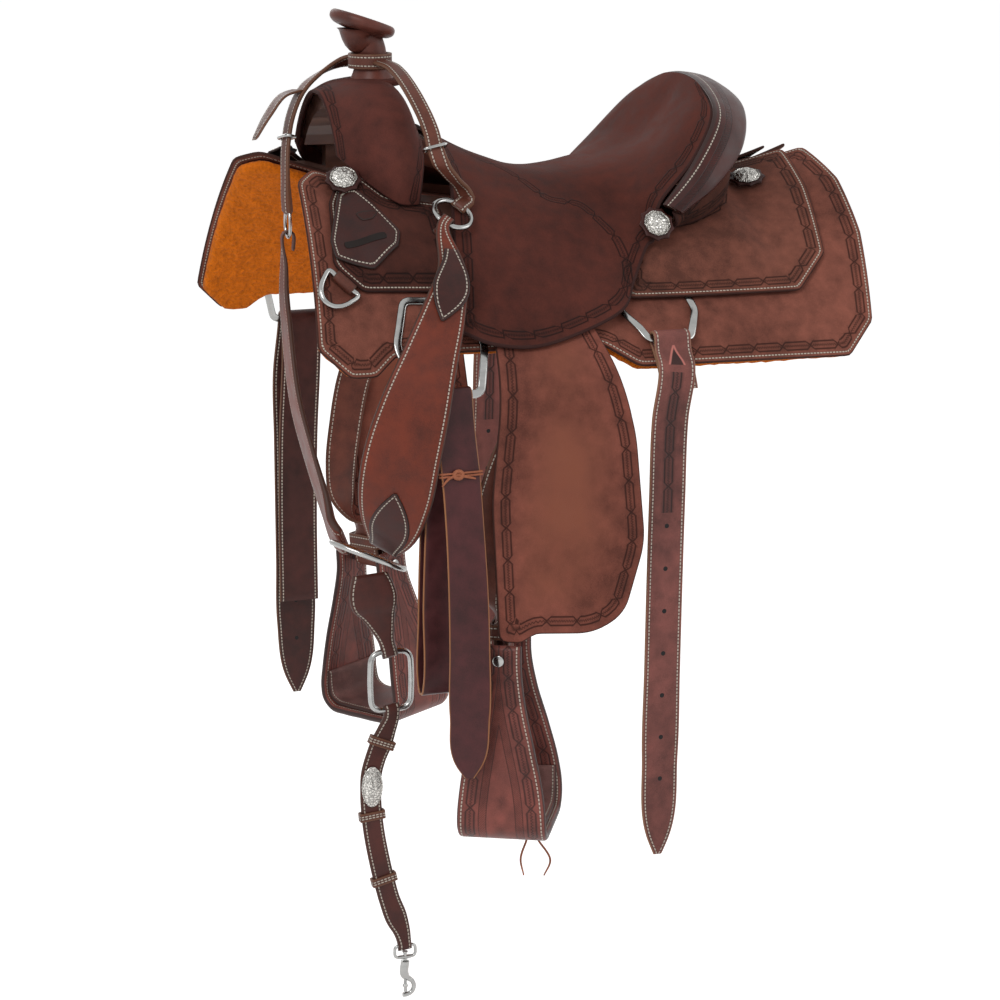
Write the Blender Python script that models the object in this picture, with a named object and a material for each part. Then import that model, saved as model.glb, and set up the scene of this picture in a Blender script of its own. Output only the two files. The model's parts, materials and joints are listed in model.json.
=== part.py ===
"""A team roping saddle with its rigging, stirrups and breast collar, in metres.

X runs across the horse with the rider's left, the near side, at +X.
The horn is towards -Y, the cantle towards +Y, and Z is up.
The origin lies midway between the two bars, where the saddle rests on a back or a rack.
Every leather that lies on the horse's side is cut from a flat pattern and laid on one surface, the flank.
A pattern point is (y, up): y along the horse and up the distance above the hem line of the skirts.
"""
import bmesh
import bpy
import numpy as np
from mathutils import Vector

# The flank: stations along the horse, and at each the hem line, the two slopes and the length between them
FLANK_Y = (-0.300, 0.000, 0.350)
HEM_X = (0.252, 0.262, 0.250)
HEM_Z = (-0.143, -0.147, -0.155)
HEM_SLOPE = (72.0, 50.0, 62.0)
TOP_SLOPE = (45.0, 18.0, 16.0)
HEM_TO_TOP = (0.228, 0.275, 0.330)
HANG_SLOPE = 87.0
HANG_BEND = 0.060

# Leathers and their clearances
GAP = 0.0004
SKIRT_THICK = 0.0046
JOCKEY_THICK = 0.0036
SEAT_THICK = 0.0036
FENDER_THICK = 0.0036
STRAP_THICK = 0.0036
COVER_THICK = 0.0036
FLEECE_THICK = 0.0160
FLEECE_GAP = 0.0020
FLEECE_INSET = 0.0040
SEAT_LIFT = 0.0194
CELL = 0.048

# Tree
BAR_RISE = 0.0140
BAR_GAP = 0.0010
BAR_SHARE = 0.88
BAR_FRONT = -0.250
BAR_REAR = 0.275
BAR_LOW = 0.096
BAR_FADE = 0.045
BAR_INSET = 0.012
BOARD_THICK = 0.0090
FORK_TOP = 0.153
FORK_LIP_TOP = 0.142
FORK_BACK_TOP = 0.100
GULLET_TOP = 0.122
GULLET_LOW = 0.058
GULLET_HALF = 0.086
HORN_Y = -0.158
HORN_NECK_RADIUS = 0.0178
HORN_FOOT_RADIUS = 0.0255
HORN_CAP_RADIUS = 0.0385
HORN_CAP_HEIGHT = 0.216
HORN_CAP_TILT = 19.0

# Straps
BILLET_WIDTH = 0.0445
LATIGO_WIDTH = 0.0445
OFF_BILLET_WIDTH = 0.0508

MATERIALS = {
    "roughout": ((0.19, 0.075, 0.045), 0.85, 0.0),
    "smooth_leather": ((0.13, 0.035, 0.022), 0.45, 0.0),
    "dark_leather": ((0.065, 0.022, 0.022), 0.40, 0.0),
    "fleece": ((0.62, 0.24, 0.03), 0.95, 0.0),
    "wood": ((0.50, 0.38, 0.24), 0.60, 0.0),
    "steel": ((0.62, 0.62, 0.60), 0.25, 1.0),
    "silver": ((0.70, 0.68, 0.64), 0.30, 1.0),
}


def clear_scene():
    """Empties the scene that Blender opened with."""
    for item in list(bpy.data.objects):
        bpy.data.objects.remove(item, do_unlink=True)


def material(name):
    """The named finish, made the first time it is asked for."""
    if name in bpy.data.materials:
        return bpy.data.materials[name]
    colour, roughness, metallic = MATERIALS[name]
    made = bpy.data.materials.new(name)
    made.use_nodes = True
    shader = made.node_tree.nodes["Principled BSDF"]
    shader.inputs["Base Color"].default_value = (*colour, 1.0)
    shader.inputs["Roughness"].default_value = roughness
    shader.inputs["Metallic"].default_value = metallic
    return made


class Solid:
    """Vertices and faces of one closed body."""

    def __init__(self, points, faces):
        self.points = np.asarray(points, float).reshape(-1, 3)
        self.faces = [tuple(int(i) for i in face) for face in faces]
        if self.volume() < 0:
            self.faces = [face[::-1] for face in self.faces]

    def volume(self):
        """The signed volume by fans of tetrahedra from the first corner of the solid."""
        total = 0.0
        shifted = self.points - self.points[0]
        for face in self.faces:
            fan = shifted[list(face)]
            for i in range(1, len(face) - 1):
                total += np.dot(fan[0], np.cross(fan[i], fan[i + 1])) / 6.0
        return total

    def mirrored(self):
        """The same solid on the other side of the horse."""
        return Solid(self.points * (-1.0, 1.0, 1.0), self.faces)


def place(name, solid, finish, pivot=(0.0, 0.0, 0.0)):
    """Adds the solid to the scene, with its object's origin at the pivot."""
    mesh = bpy.data.meshes.new(name)
    mesh.from_pydata((solid.points - np.array(pivot)).tolist(), [], solid.faces)
    mesh.materials.append(material(finish))
    mesh.shade_smooth()
    mesh.set_sharp_from_angle(angle=np.radians(40.0))
    item = bpy.data.objects.new(name, mesh)
    item.location = Vector(pivot)
    bpy.context.scene.collection.objects.link(item)
    return item


def place_both(name, solid, finish, pivot=(0.0, 0.0, 0.0)):
    """Adds the near solid and its mirror image on the off side."""
    place(name + "_near", solid, finish, pivot)
    place(name + "_off", solid.mirrored(), finish, (-pivot[0], pivot[1], pivot[2]))


def guide(name, solid):
    """A solid that only shapes others; it stays in the scene as a hidden wire frame."""
    item = place(name, solid, "steel")
    item.hide_render = True
    item.display_type = "WIRE"
    return item


def bored(item, solid, name):
    """Cuts the solid out of the object."""
    cut = item.modifiers.new(name, "BOOLEAN")
    cut.operation = "DIFFERENCE"
    cut.object = guide(name, solid)


def joined(item, solids, name):
    """Joins the solids to the object, as one body."""
    for number, solid in enumerate(solids):
        label = f"{name}_{number}"
        union = item.modifiers.new(label, "BOOLEAN")
        union.operation = "UNION"
        union.object = guide(label, solid)


def unit(vectors):
    """Each vector of the array at length one."""
    vectors = np.asarray(vectors, float)
    return vectors / np.linalg.norm(vectors, axis=-1, keepdims=True)


def smoothstep(value):
    """Zero below 0, one above 1 and an even S between."""
    held = np.clip(value, 0.0, 1.0)
    return held * held * (3.0 - 2.0 * held)


def through(points, samples):
    """Points on the smooth Catmull and Rom curve through the given ones, at parameters counted in points."""
    points = np.asarray(points, float)
    first = 2.0 * points[:1] - points[1:2]
    last = 2.0 * points[-1:] - points[-2:-1]
    held = np.concatenate([first, points, last])
    samples = np.asarray(samples, float)
    cell = np.clip(np.floor(samples).astype(int), 0, len(points) - 2)
    t = (samples - cell).reshape((-1,) + (1,) * (points.ndim - 1))
    a, b, c, d = (held[cell + k] for k in range(4))
    return 0.5 * (2 * b + (c - a) * t + (2 * a - 5 * b + 4 * c - d) * t**2
                  + (3 * b - a - 3 * c + d) * t**3)


def along(points, count):
    """The given number of points on the smooth curve through the given ones."""
    return through(points, np.linspace(0.0, len(points) - 1.0, count))


def rounded(corners, radius, steps=4):
    """A closed flat outline with each corner (point or point with its own radius) turned as an arc."""
    result = []
    places = [np.array(corner[:2], float) for corner in corners]
    for i, corner in enumerate(corners):
        here = places[i]
        before = unit(places[i - 1] - here)
        after = unit(places[(i + 1) % len(places)] - here)
        bend = corner[2] if len(corner) > 2 else radius
        half = 0.5 * np.arccos(np.clip(np.dot(before, after), -0.9999, 0.9999))
        reach = min(bend / np.tan(half), 0.45 * np.linalg.norm(places[i - 1] - here),
                    0.45 * np.linalg.norm(places[(i + 1) % len(places)] - here))
        for t in np.linspace(0.0, 1.0, steps):
            result.append(here + (1 - t)**2 * before * reach + t**2 * after * reach)
    return np.array(result)


def station(y, values):
    """A flank value at y: the parabola through its three stations."""
    a, b, c = FLANK_Y
    y = np.asarray(y, float)
    return (values[0] * (y - b) * (y - c) / ((a - b) * (a - c))
            + values[1] * (y - a) * (y - c) / ((b - a) * (b - c))
            + values[2] * (y - a) * (y - b) / ((c - a) * (c - b)))


def flank(y, up, lift=0.0):
    """The flank point for a pattern point, raised off the surface by lift.

    The section is an arc whose slope falls from the hem to the top.
    Below the hem the slope steepens along a second arc and then hangs straight.
    """
    y = np.asarray(y, float)
    up = np.asarray(up, float) + 0.0 * y
    low = np.radians(station(y, HEM_SLOPE))
    top = np.radians(station(y, TOP_SLOPE))
    hang = np.radians(HANG_SLOPE)
    rise = np.clip(up, 0.0, None)
    slope = low + (top - low) * rise / station(y, HEM_TO_TOP)
    chord = rise * np.sinc((slope - low) / 2.0 / np.pi)
    x = station(y, HEM_X) - chord * np.cos((slope + low) / 2.0)
    z = station(y, HEM_Z) + chord * np.sin((slope + low) / 2.0)
    fall = np.clip(-up, 0.0, HANG_BEND)
    steep = low + (hang - low) * fall / HANG_BEND
    chord = fall * np.sinc((steep - low) / 2.0 / np.pi)
    x = x + chord * np.cos((steep + low) / 2.0)
    z = z - chord * np.sin((steep + low) / 2.0)
    rest = np.clip(-up - HANG_BEND, 0.0, None)
    x = x + rest * np.cos(hang)
    z = z - rest * np.sin(hang)
    slope = np.where(up >= 0.0, slope, steep)
    return np.stack([x + lift * np.sin(slope), y + 0.0 * up, z + lift * np.cos(slope)], axis=-1)


def over_bar(y, up):
    """How far the tree's bar lifts the leathers that lie over it."""
    ends = smoothstep((y - BAR_FRONT) / BAR_FADE) * smoothstep((BAR_REAR - y) / BAR_FADE)
    return BAR_RISE * ends * smoothstep((up - BAR_LOW) / BAR_FADE)


def cut_pattern(outline, cell=CELL):
    """Flat points and triangles of an outline, cut along a grid that all patterns share."""
    shape = bmesh.new()
    corners = [shape.verts.new((p[0], p[1], 0.0)) for p in outline]
    shape.faces.new(corners)
    for axis in (0, 1):
        low = np.min(outline, axis=0)[axis]
        high = np.max(outline, axis=0)[axis]
        normal = (1.0, 0.0, 0.0) if axis == 0 else (0.0, 1.0, 0.0)
        for k in range(int(np.ceil(low / cell)), int(np.floor(high / cell)) + 1):
            at = tuple(k * cell * c for c in normal)
            every = shape.verts[:] + shape.edges[:] + shape.faces[:]
            bmesh.ops.bisect_plane(shape, geom=every, dist=1e-4, plane_co=at, plane_no=normal)
    for face in [f for f in shape.faces if abs(f.calc_area() - cell**2) < 1e-7]:
        ends = sorted(face.verts, key=lambda v: v.co.x + v.co.y)
        bmesh.utils.face_split(face, ends[0], ends[-1])
    bmesh.ops.triangulate(shape, faces=shape.faces[:])
    bmesh.ops.recalc_face_normals(shape, faces=shape.faces[:])
    shape.verts.index_update()
    points = np.array([v.co[:2] for v in shape.verts])
    triangles = [tuple(v.index for v in f.verts) for f in shape.faces]
    shape.free()
    area = sum(np.cross(points[b] - points[a], points[c] - points[a]) for a, b, c in triangles)
    if area < 0:
        triangles = [t[::-1] for t in triangles]
    return points, triangles


def panel(outline, surface, low, high, cell=CELL):
    """A leather cut to the outline: surface(y, up, lift) gives its places at the two lifts."""
    points, triangles = cut_pattern(outline, cell)
    outer = surface(points[:, 0], points[:, 1], high)
    inner = surface(points[:, 0], points[:, 1], low)
    count = len(points)
    directed = {(t[i], t[(i + 1) % 3]) for t in triangles for i in range(3)}
    rim = [(a, b) for a, b in directed if (b, a) not in directed]
    faces = list(triangles)
    faces += [tuple(i + count for i in t[::-1]) for t in triangles]
    faces += [(b, a, a + count, b + count) for a, b in sorted(rim)]
    return Solid(np.vstack([outer, inner]), faces)


def on_flank(y, up, lift):
    """A leather that lies straight on the skirt."""
    return flank(y, up, lift)


def on_bars(y, up, lift):
    """A leather that rides over the tree's bar."""
    return flank(y, up, lift + over_bar(y, up))


def slab(outer, inner):
    """A closed shell between two grids of points of one shape."""
    rows, columns = outer.shape[:2]
    count = rows * columns
    index = np.arange(count).reshape(rows, columns)
    faces = []
    for i in range(rows - 1):
        for j in range(columns - 1):
            a, b, c, d = index[i, j], index[i + 1, j], index[i + 1, j + 1], index[i, j + 1]
            for face in ((a, b, c), (a, c, d)):
                faces.append(face)
                faces.append(tuple(k + count for k in face[::-1]))
    border = ([index[0, j] for j in range(columns)] + [index[i, -1] for i in range(1, rows)]
              + [index[-1, j] for j in range(columns - 2, -1, -1)]
              + [index[i, 0] for i in range(rows - 2, 0, -1)])
    for k, a in enumerate(border):
        b = border[(k + 1) % len(border)]
        faces.append((a, b, b + count, a + count))
    return Solid(np.concatenate([outer.reshape(-1, 3), inner.reshape(-1, 3)]), faces)


def grid_normals(points):
    """Unit normals of a grid of points, from its two directions."""
    across = np.gradient(points, axis=1)
    down = np.gradient(points, axis=0)
    return unit(np.cross(down, across))


def loft(sections, closed=False):
    """A solid through closed sections of equal count, capped at its ends unless it closes on itself."""
    sections = np.asarray(sections, float)
    rings, count = sections.shape[:2]
    faces = []
    for i in range(rings if closed else rings - 1):
        after = (i + 1) % rings
        for j in range(count):
            k = (j + 1) % count
            faces.append((i * count + j, i * count + k, after * count + k, after * count + j))
    if not closed:
        faces.append(tuple(range(count))[::-1])
        faces.append(tuple(range((rings - 1) * count, rings * count)))
    return Solid(sections.reshape(-1, 3), faces)


def strap(path, across, width, thick):
    """A flat strap along the path at mid thickness; across is its width direction at each point."""
    path = np.asarray(path, float)
    across = unit(np.broadcast_to(across, path.shape))
    run = unit(np.gradient(path, axis=0))
    face = unit(np.cross(run, across))
    width = np.broadcast_to(width, len(path))[:, None] / 2.0
    thick = np.broadcast_to(thick, len(path))[:, None] / 2.0
    corners = [path + across * width + face * thick, path - across * width + face * thick,
               path - across * width - face * thick, path + across * width - face * thick]
    return loft(np.stack(corners, axis=1))


def wire(path, radius, facing, closed=True, sides=8):
    """A round wire along a path; facing is the normal of the plane that the path lies in."""
    path = np.asarray(path, float)
    facing = unit(np.broadcast_to(facing, path.shape))
    if closed:
        run = unit(np.roll(path, -1, axis=0) - np.roll(path, 1, axis=0))
    else:
        run = unit(np.gradient(path, axis=0))
    side = unit(np.cross(run, facing))
    facing = np.cross(side, run)
    turn = 2.0 * np.pi * np.arange(sides) / sides
    radius = np.broadcast_to(radius, len(path))[:, None, None]
    ring = (side[:, None] * np.cos(turn)[None, :, None] + facing[:, None] * np.sin(turn)[None, :, None])
    return loft(path[:, None] + radius * ring, closed)


def turned(profile, centre, axis, sides=24):
    """A turned piece: the profile holds (radius, height) along the axis and starts and ends at radius 0."""
    axis = unit(np.array(axis, float))
    side = unit(np.cross(axis, (0.31, 0.17, 0.93) if abs(axis[2]) < 0.9 else (1.0, 0.0, 0.0)))
    other = np.cross(axis, side)
    angle = 2.0 * np.pi * np.arange(sides) / sides
    spoke = side * np.cos(angle)[:, None] + other * np.sin(angle)[:, None]
    centre = np.array(centre, float)
    points = [centre + axis * profile[0][1]]
    for radius, height in profile[1:-1]:
        points.extend(centre + axis * height + spoke * radius)
    points.append(centre + axis * profile[-1][1])
    faces = []
    for j in range(sides):
        k = (j + 1) % sides
        faces.append((0, 1 + k, 1 + j))
        for ring in range(len(profile) - 3):
            a = 1 + ring * sides
            faces.append((a + j, a + k, a + sides + k, a + sides + j))
        last = 1 + (len(profile) - 3) * sides
        faces.append((last + j, last + k, len(points) - 1))
    return Solid(points, faces)


# Flat patterns of the leathers, in metres: corner points (y, up), some with a corner radius of their own
SKIRT = [(-0.262, 0.262), (-0.287, 0.236), (-0.303, 0.031, 0.012), (-0.270, -0.002, 0.012),
         (-0.241, -0.002, 0.012), (-0.215, 0.021), (-0.114, 0.023), (0.026, 0.026), (0.064, -0.005),
         (0.332, -0.005, 0.012), (0.371, 0.036, 0.012), (0.390, 0.153), (0.394, 0.240),
         (0.382, 0.317, 0.010), (0.300, 0.317, 0.010), (0.120, 0.270), (-0.120, 0.250)]
REAR_JOCKEY = [(0.070, 0.082, 0.008), (0.287, 0.077, 0.010), (0.333, 0.124, 0.010),
               (0.350, 0.230, 0.020), (0.356, 0.314, 0.010), (0.246, 0.314, 0.006),
               (0.243, 0.258, 0.010), (0.222, 0.216, 0.010),
               (0.180, 0.197, 0.010), (0.130, 0.192, 0.010), (0.092, 0.156)]
FRONT_JOCKEY = [(-0.226, 0.262, 0.006), (-0.256, 0.208), (-0.271, 0.126), (-0.241, 0.094, 0.012),
                (-0.128, 0.096), (-0.118, 0.217, 0.006), (-0.186, 0.217, 0.006), (-0.212, 0.244, 0.006)]
FENDER = [(-0.100, 0.066, 0.020), (-0.106, 0.010), (-0.124, -0.141, 0.300), (-0.119, -0.300, 0.012),
          (-0.094, -0.303, 0.012), (-0.076, -0.294, 0.020), (-0.008, -0.299, 0.100), (0.030, -0.280, 0.060),
          (0.056, -0.200, 0.100), (0.047, -0.080, 0.200), (0.012, 0.066, 0.030)]
KEEPER = [(-0.242, 0.222, 0.006), (-0.222, 0.224, 0.006), (-0.184, 0.162, 0.006),
          (-0.191, 0.143, 0.006), (-0.225, 0.117, 0.006), (-0.268, 0.132, 0.006),
          (-0.269, 0.154, 0.006)]
JOCKEY_LIFT = 0.0090
FRONT_JOCKEY_LIFT = SKIRT_THICK + 0.0020
FENDER_LIFT = 0.0120
LEATHER_LIFT = 0.0062


def inset(outline, distance):
    """The outline moved inwards by the distance."""
    points = np.asarray(outline)
    run = unit(np.roll(points, -1, axis=0) - np.roll(points, 1, axis=0))
    side = np.stack([-run[:, 1], run[:, 0]], axis=1)
    ahead = np.roll(points, -1, axis=0)
    area = np.sum(points[:, 0] * ahead[:, 1] - ahead[:, 0] * points[:, 1])
    return points + side * distance * np.sign(area)


def build_skirts():
    """Both skirts and the fleece below them."""
    outline = rounded(SKIRT, 0.020, 3)
    place_both("skirt", panel(outline, on_flank, 0.0, SKIRT_THICK), "roughout")
    fleece = panel(inset(outline, FLEECE_INSET), on_flank, -FLEECE_THICK, -FLEECE_GAP)
    place_both("fleece", fleece, "fleece")


def in_bar(y, up, share):
    """A place in the bar: share 0 is its underside on the skirt and 1 its top below the jockeys."""
    return flank(y, up, SKIRT_THICK + BAR_GAP + BAR_SHARE * share * over_bar(y, up))


def bar_solid():
    """The near bar of the tree: a pad of wood on the skirt, thinned out towards its ends and its low edge."""
    front = BAR_FRONT + BAR_INSET
    rear = BAR_REAR - BAR_INSET
    low = BAR_LOW + BAR_INSET
    outline = [(front, low), (rear, low), (rear, 0.276), (0.100, 0.256), (-0.130, 0.238), (front, 0.246)]
    return panel(rounded(outline, 0.030), in_bar, 0.0, 1.0)


def build_jockeys():
    """Front and rear jockeys, and the keeper on each front jockey."""
    low = JOCKEY_LIFT
    rear = panel(rounded(REAR_JOCKEY, 0.020, 3), on_bars, low, low + JOCKEY_THICK)
    place_both("rear_jockey", rear, "roughout")
    low = FRONT_JOCKEY_LIFT
    front = panel(rounded(FRONT_JOCKEY, 0.020, 3), on_bars, low, low + JOCKEY_THICK)
    place_both("front_jockey", front, "roughout")
    low = FRONT_JOCKEY_LIFT + JOCKEY_THICK + 0.0014
    keeper = panel(rounded(KEEPER, 0.006, 3), on_bars, low, low + STRAP_THICK * 0.8)
    place_both("latigo_keeper", keeper, "smooth_leather")


def seat_net():
    """The underside of the near half of the seat leather, as rows from the cantle's top to the fork.

    Each row runs from the centre line, by two points between, to the leather's edge.
    """
    def laid(y, up):
        return on_bars(y, up, SEAT_LIFT)

    return np.array([
        [(0, 0.229, 0.145), (0.022, 0.2285, 0.144), (0.044, 0.2280, 0.1405), (0.067, 0.227, 0.1340)],
        [(0, 0.207, 0.104), (0.045, 0.205, 0.110), (0.085, 0.209, 0.115), (0.123, 0.215, 0.107)],
        [(0, 0.172, 0.070), (0.055, 0.172, 0.074), (0.105, 0.174, 0.075), (0.150, 0.180, 0.061)],
        [(0, 0.128, 0.053), (0.060, 0.128, 0.050), (0.117, 0.131, 0.031), (0.157, 0.136, 0.014)],
        [(0, 0.098, 0.047), (0.064, 0.100, 0.041), (0.123, 0.112, 0.011), laid(0.125, 0.150)],
        [(0, 0.068, 0.043), (0.068, 0.072, 0.034), laid(0.096, 0.190), laid(0.110, 0.136)],
        [(0, 0.040, 0.041), (0.068, 0.042, 0.032), laid(0.058, 0.175), laid(0.082, 0.096)],
        [(0, 0.008, 0.0455), (0.068, 0.012, 0.034), laid(0.034, 0.165), laid(0.056, 0.058)],
        [(0, -0.024, 0.056), (0.068, -0.018, 0.041), laid(0.000, 0.155), laid(0.002, 0.032)],
        [(0, -0.052, 0.067), (0.070, -0.046, 0.047), laid(-0.040, 0.150), laid(-0.058, 0.016)],
        [(0, -0.080, 0.081), (0.078, -0.076, 0.056), laid(-0.080, 0.150), laid(-0.108, 0.021)],
        [(0, -0.106, 0.096), (0.100, -0.104, 0.060), laid(-0.121, 0.160), laid(-0.146, 0.040)],
    ])


def seat_grid(rows, columns):
    """Points of the seat's underside at row and column parameters; columns run from -3 to 3, off to near."""
    net = seat_net()
    whole = np.concatenate([(net * (-1, 1, 1))[:, :0:-1], net], axis=1)
    crossed = through(whole, rows)
    return through(crossed.transpose(1, 0, 2), np.asarray(columns) + 3.0).transpose(1, 0, 2)


def build_seat():
    """The seat leather with its side jockeys, and the ground seat below it."""
    under = seat_grid(np.linspace(0.0, 11.0, 18), np.linspace(-3.0, 3.0, 13))
    normal = grid_normals(under)
    if normal[8, 6, 2] < 0:
        normal = -normal
    place("seat_leather", slab(under + normal * SEAT_THICK, under), "roughout")
    middle = seat_grid(np.linspace(2.6, 10.7, 9), np.linspace(-1.1, 1.1, 5))
    down = grid_normals(middle)
    if down[4, 2, 2] > 0:
        down = -down
    place("ground_seat", slab(middle + down * 0.0032, middle + down * 0.0082), "smooth_leather")


def cantle_curves(count):
    """Along the cantle from its off end to its near end: inner edge, the roll's outer edge and its foot."""
    net = seat_net()
    inner = np.array([net[0, 0], net[0, 3], net[1, 3], net[2, 3], net[3, 3]])
    inner[4] += (0.002, 0.002, -0.002)
    outer = np.array([(0, 0.274, 0.128), (0.072, 0.278, 0.108), (0.130, 0.250, 0.070), (0.160, 0.206, 0.032),
                      (0.175, 0.156, 0.004)])
    foot = np.array([on_bars(y, up, JOCKEY_LIFT + JOCKEY_THICK + 0.0048)
                     for y, up in ((0.262, 0.324), (0.262, 0.262), (0.240, 0.214), (0.200, 0.182),
                                   (0.156, 0.168))])
    curves = []
    for half in (inner, outer, foot):
        whole = np.concatenate([(half * (-1, 1, 1))[:0:-1], half])
        whole[4, 0] = 0.0
        curves.append(along(whole, count))
    return curves


def cantle_faces():
    """The binding's start, two directions and width, and the leather behind the cantle with its normals."""
    inner, outer, foot = cantle_curves(19)
    run = unit(np.gradient(inner, axis=0))
    across = unit(outer - inner)
    width = np.linalg.norm(outer - inner, axis=1, keepdims=True)
    face = unit(np.cross(run, across))
    if face[9, 2] < 0:
        face = -face
    start = inner + across * 0.0008 + face * 0.0006
    top = start + across * width * 0.52 - face * 0.0084
    steps = np.linspace(0.0, 1.0, 6)[:, None, None]
    back = top * (1 - steps) + foot * steps
    normal = grid_normals(back)
    if normal[3, 9, 1] < 0:
        normal = -normal
    return start, across, face, width, outer, back + normal * np.sin(np.pi * steps) * 0.006, normal


def cantle_board():
    """The wooden cantle board in front of the leather behind the cantle, clear of the jockeys."""
    back, normal = cantle_faces()[-2:]
    board = back[:-1, 2:-2] - normal[:-1, 2:-2] * (COVER_THICK + GAP)
    return slab(board, board - normal[:-1, 2:-2] * BOARD_THICK)


def build_cantle():
    """The rolled binding and the leather behind the cantle."""
    start, across, face, width, tip, back, normal = cantle_faces()
    section = [start + face * 0.0040, start + across * width * 0.45 + face * 0.0085,
               tip - across * 0.010 + face * 0.0075, tip - across * 0.0025 + face * 0.0045,
               tip - across * 0.0005 - face * 0.0010, tip - across * 0.0040 - face * 0.0060,
               tip - across * 0.0120 - face * 0.0070, start + across * width * 0.40 - face * 0.0010,
               start - face * 0.0002]
    place("cantle_roll", loft(np.stack(section, axis=1)), "smooth_leather")
    place("cantle_back", slab(back, back - normal * COVER_THICK), "roughout")


def fork_grid(turns, sweeps, depth=0.0):
    """The fork's outer face: turns run from the near foot over the top to the off foot.

    The sweeps run front to back.
    Four arches, the lip, two over the swell and the back, each rise from a foot to a crown.
    A smooth curve joins them front to back.
    """
    lift = FRONT_JOCKEY_LIFT + JOCKEY_THICK + 0.0008
    feet = [on_bars(-0.226, 0.280, lift), on_bars(-0.204, 0.232, lift + 0.002),
            on_bars(-0.174, 0.203, lift + 0.004), on_bars(-0.146, 0.206, lift + 0.003)]
    crowns = [(-0.226, FORK_LIP_TOP), (-0.188, FORK_TOP), (-0.144, FORK_TOP - 0.003),
              (-0.118, FORK_BACK_TOP)]
    swells = (-0.012, 0.012, 0.014, 0.002)
    turns = np.asarray(turns)[:, None]
    rise = np.abs(np.sin(turns))
    reach = np.cos(turns)
    arches = []
    for foot, crown, swell in zip(feet, crowns, swells):
        x = np.sign(reach) * (foot[0] * np.abs(reach)**0.90 + swell * np.sin(2 * np.arcsin(rise)))
        y = foot[1] + (crown[0] - foot[1]) * rise**1.5
        z = foot[2] + (crown[1] - foot[2]) * rise
        arches.append(np.concatenate([x, y, z], axis=-1))
    face = through(np.stack(arches), np.asarray(sweeps) * 3.0).transpose(1, 0, 2)
    if depth:
        normal = grid_normals(face)
        if normal[len(turns) // 2, len(sweeps) // 2, 2] < 0:
            normal = -normal
        face = face - normal * depth
    return face


def build_fork():
    """The leather cover of the fork."""
    turns = np.linspace(0.0, np.pi, 17)
    sweeps = np.linspace(0.0, 1.0, 8)
    cover = fork_grid(turns, sweeps)
    item = place("fork_cover", slab(cover, fork_grid(turns, sweeps, COVER_THICK)), "roughout")
    neck = np.array([0.0, HORN_Y + 0.001, FORK_TOP])
    reach = np.array([0.0, 0.0, 0.020])
    way = wire([neck - reach, neck + reach], HORN_FOOT_RADIUS + GAP, (1.0, 0.0, 0.0), False, 20)
    bored(item, way, "horn_way")


def fork_solid():
    """The wooden fork: its top fills the cover and its mouth is the round gullet."""
    turns = np.linspace(0.0, np.pi, 17)[1:-1]
    core = fork_grid(np.linspace(0.0, np.pi, 17), np.linspace(0.0, 1.0, 8), COVER_THICK + 2 * GAP)[1:-1, 1:-2]
    angle = turns[:, None]
    mouth = core.copy()
    mouth[:, :, 0] = GULLET_HALF * np.cos(angle)
    mouth[:, :, 2] = GULLET_LOW + (GULLET_TOP - GULLET_LOW) * np.sin(angle)
    return slab(core, mouth)


def build_tree():
    """The tree in one piece: two bars, the fork with a leg to each, and the cantle board with its own."""
    bar = bar_solid()
    sunk = SKIRT_THICK + BAR_GAP + BAR_RISE / 2
    fork_path = [flank(-0.166, 0.229, sunk + 0.003), (0.104, -0.166, 0.082)]
    fork_leg = strap(fork_path, (0.0, 1.0, 0.0), 0.032, 0.014)
    cantle_path = [flank(0.214, 0.240, sunk + 0.001), (0.128, 0.206, 0.018)]
    cantle_leg = strap(cantle_path, (-0.60, 0.80, 0.0), 0.024, 0.008)
    tree = place("tree", fork_solid(), "wood")
    pieces = [fork_leg, fork_leg.mirrored(), bar, bar.mirrored(), cantle_leg, cantle_leg.mirrored()]
    joined(tree, pieces + [cantle_board()], "tree_joint")


def horn_axis():
    """Direction in which the horn's cap faces."""
    tilt = np.radians(HORN_CAP_TILT)
    return np.array([0.0, np.sin(tilt), np.cos(tilt)])


def build_horn():
    """The horn: a wrapped neck below a round cap."""
    axis = horn_axis()
    top = np.array([0.0, HORN_Y - 0.010, HORN_CAP_HEIGHT])
    radius = np.array([HORN_FOOT_RADIUS, 0.0215, HORN_NECK_RADIUS, HORN_NECK_RADIUS, 0.0175, 0.0205, 0.0270])
    head = top - axis * 0.0160 + (0.0, 0.0030, 0.0)
    foot = np.array([0.0, HORN_Y + 0.001, FORK_TOP - 0.0024])
    lean = np.array([0.0, 0.0, 0.0005, 0.0020, 0.0055])
    share = np.array([0.0, 0.207, 0.465, 0.704, 0.883])
    neck = foot + np.stack([0.0 * share, -lean, share * (head[2] - foot[2])], axis=1)
    middle = np.vstack([neck, [head, top - axis * 0.0070]])
    facing = unit(np.linspace(np.array([0.0, 0.0, 1.0]), axis, len(radius)))
    side = np.array([1.0, 0.0, 0.0])
    angle = 2.0 * np.pi * np.arange(16) / 16
    rings = [centre + r * (side * np.cos(angle)[:, None] + np.cross(up, side) * np.sin(angle)[:, None])
             for centre, r, up in zip(middle, radius, facing)]
    r = HORN_CAP_RADIUS
    cap = [(0.0, -0.0100), (0.62 * r, -0.0098), (0.88 * r, -0.0070), (r, -0.0015), (0.985 * r, 0.0030),
           (0.90 * r, 0.0055), (0.75 * r, 0.0062), (0.0, 0.0062)]
    horn = place("horn", turned(cap, top, axis, 24), "smooth_leather")
    joined(horn, [loft(rings)], "horn_neck")


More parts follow.
